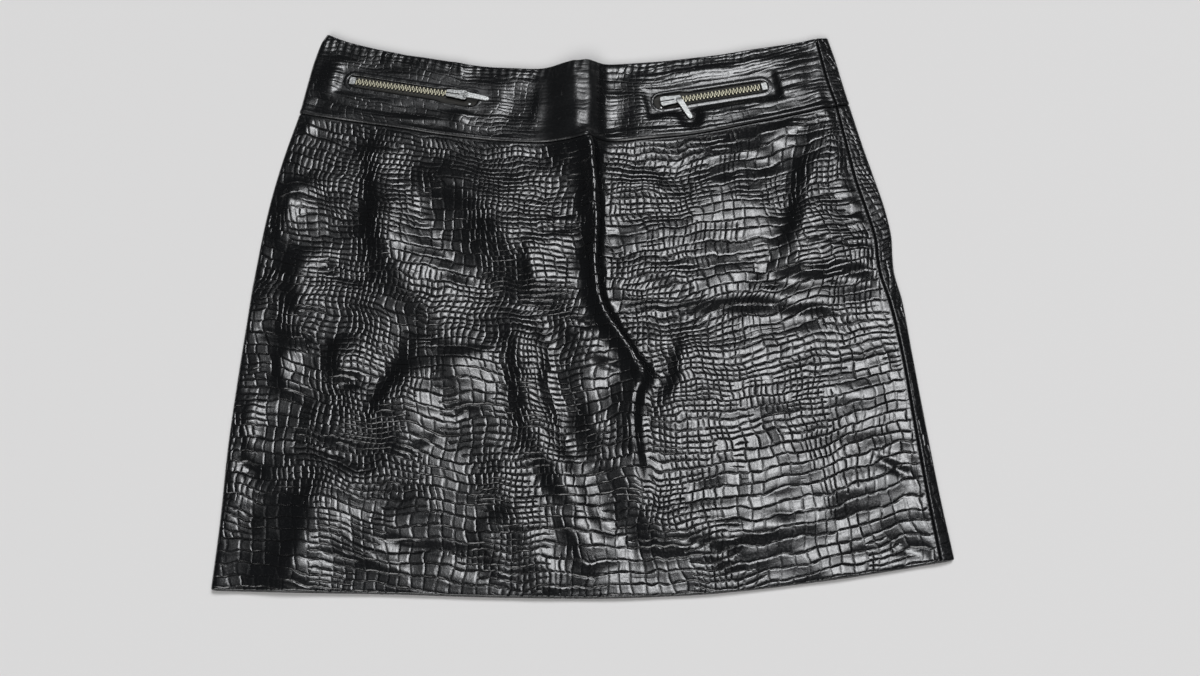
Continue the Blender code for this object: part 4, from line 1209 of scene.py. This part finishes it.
class SKIRT_OT_pocket_zips(bpy.types.Operator):
    """Makes the tapes, teeth, turned edges and topstitching of both pocket zips"""
    bl_idname = "skirt.pocket_zips"
    bl_label = "Pocket zips"

    def execute(self, context):
        look = context.scene.skirt_zips
        turned = turned_leather(context.scene.skirt_leather)
        thread, tape, brass = bonded_thread(), woven_tape(look), antique_brass(look)
        nickel = bright_nickel(look)
        # The slider's finish has painted shade: its plating is painted dark in its groove and down
        # its sides.
        nickel_with_painted_shade = bright_nickel(look, "bright_nickel_slider_painted_shade", SLIDER_SHADE_BELOW)
        for layout in ZIPS:
            zip_name = f"{layout.name}_pocket"
            dress(window_lip(layout, turned), "leather")
            dress(topstitching(layout, thread, look.stitch_length), "zip_tape")
            dress(zip_teeth(layout, brass, look.tooth_pitch), "zip_teeth", zip_name + "_chain")
            dress(zip_tape(layout, tape), "zip_tape", zip_name + "_tape")
            plate(zip_name + "_slider", nickel_with_painted_shade)
            for piece in ("_pull", "_stop", "_bead"):
                plate(zip_name + piece, nickel)
        return {"FINISHED"}


class SKIRT_OT_back_zip(bpy.types.Operator):
    """Finishes the concealed zip in the centre-back seam"""
    bl_idname = "skirt.back_zip"
    bl_label = "Back zip"

    def execute(self, context):
        look = context.scene.skirt_zips
        plate("back_zip_tape", woven_tape(look))
        plate("back_zip_slider", bright_nickel(look))
        return {"FINISHED"}


class SKIRT_OT_stage(bpy.types.Operator):
    """Makes the floor, the soft studio light and the camera"""
    bl_idname = "skirt.stage"
    bl_label = "Stage"

    def execute(self, context):
        look, scene = context.scene.skirt_stage, context.scene
        maker = bmesh.new()
        bmesh.ops.create_grid(maker, x_segments=1, y_segments=1, size=FLOOR_REACH)
        mesh = finished_mesh("floor", maker)
        mesh.materials.append(seamless_paper(look))
        floor = link_object("floor", mesh, (0.0, 0.0, FLOOR_DROP))

        # A wide ceiling panel to the right gives the broad glossy reflection and a smaller one
        # in its middle the brightest part; a dim one to the left keeps some grain in the dark
        # slopes, and a low one in front evens out the floor.
        level = (0.0, 0.0, 0.0)
        lights = [
            ("ceiling_panel", (3.55, 4.68, 12.0), (7.8, 5.66), level, look.key_power, COOL_LIGHT),
            ("bright_panel", (2.1, 4.6, 11.9), (3.2, 3.2), level, look.bright_power, COOL_LIGHT),
            ("dim_panel", (-2.0, 4.5, 12.0), (3.2, 8.0), level, look.dim_power, COOL_LIGHT),
            ("front_panel_light", (-1.5, -8.0, 7.5), (7.0, 5.0), FILL_TURN, look.fill_power,
             WHITE_LIGHT),
        ]
        for name, place, size, turn, power, tint in lights:
            lamp = bpy.data.lights.new(name, "AREA")
            lamp.shape = "RECTANGLE"
            lamp.color = tint
            lamp.size, lamp.size_y = size
            lamp.energy = power
            link_object(name, lamp, place, turn)

        world = bpy.data.worlds.new("room")
        world.use_nodes = True
        sky = world.node_tree.nodes["Background"]
        sky.inputs["Color"].default_value = (1.0, 1.0, 1.0, 1.0)
        sky.inputs["Strength"].default_value = look.room
        scene.world = world
        scene.view_settings.view_transform = "Standard"

        lens = bpy.data.cameras.new("camera")
        lens.sensor_width = 36.0
        lens.lens = 36.51
        scene.camera = link_object("camera", lens, (0.010, -0.3553, 0.7927), (22.0, 0.0, 0.0))
        return {"FINISHED"}


class SKIRT_PT_pieces(bpy.types.Panel):
    """Lists the skirt's pieces and their settings"""
    bl_idname = "SKIRT_PT_pieces"
    bl_label = "Leather mini skirt"
    bl_space_type = "VIEW_3D"
    bl_region_type = "UI"
    bl_category = "Skirt"

    def draw(self, context):
        for settings in ("skirt_leather", "skirt_zips", "skirt_stage"):
            group = getattr(context.scene, settings)
            box = self.layout.box()
            for key in group.__annotations__:
                box.prop(group, key)
        for operator in OPERATORS:
            self.layout.operator(operator.bl_idname)


OPERATORS = (SKIRT_OT_front_panel, SKIRT_OT_front_yoke, SKIRT_OT_back_pieces,
             SKIRT_OT_pocket_zips, SKIRT_OT_back_zip, SKIRT_OT_stage)
SETTINGS = {"skirt_leather": SkirtLeatherLook, "skirt_zips": SkirtZipLook,
            "skirt_stage": SkirtStageLook}
CLASSES = (*SETTINGS.values(), *OPERATORS, SKIRT_PT_pieces)


def register():
    for kind in CLASSES:
        bpy.utils.register_class(kind)
    for name, kind in SETTINGS.items():
        setattr(bpy.types.Scene, name, bpy.props.PointerProperty(type=kind))


def unregister():
    for name in SETTINGS:
        delattr(bpy.types.Scene, name)
    for kind in reversed(CLASSES):
        bpy.utils.unregister_class(kind)


def main():
    register()
    bpy.ops.skirt.front_panel()
    bpy.ops.skirt.front_yoke()
    bpy.ops.skirt.back_pieces()
    bpy.ops.skirt.pocket_zips()
    bpy.ops.skirt.back_zip()
    bpy.ops.skirt.stage()


if __name__ == "__main__":
    main()
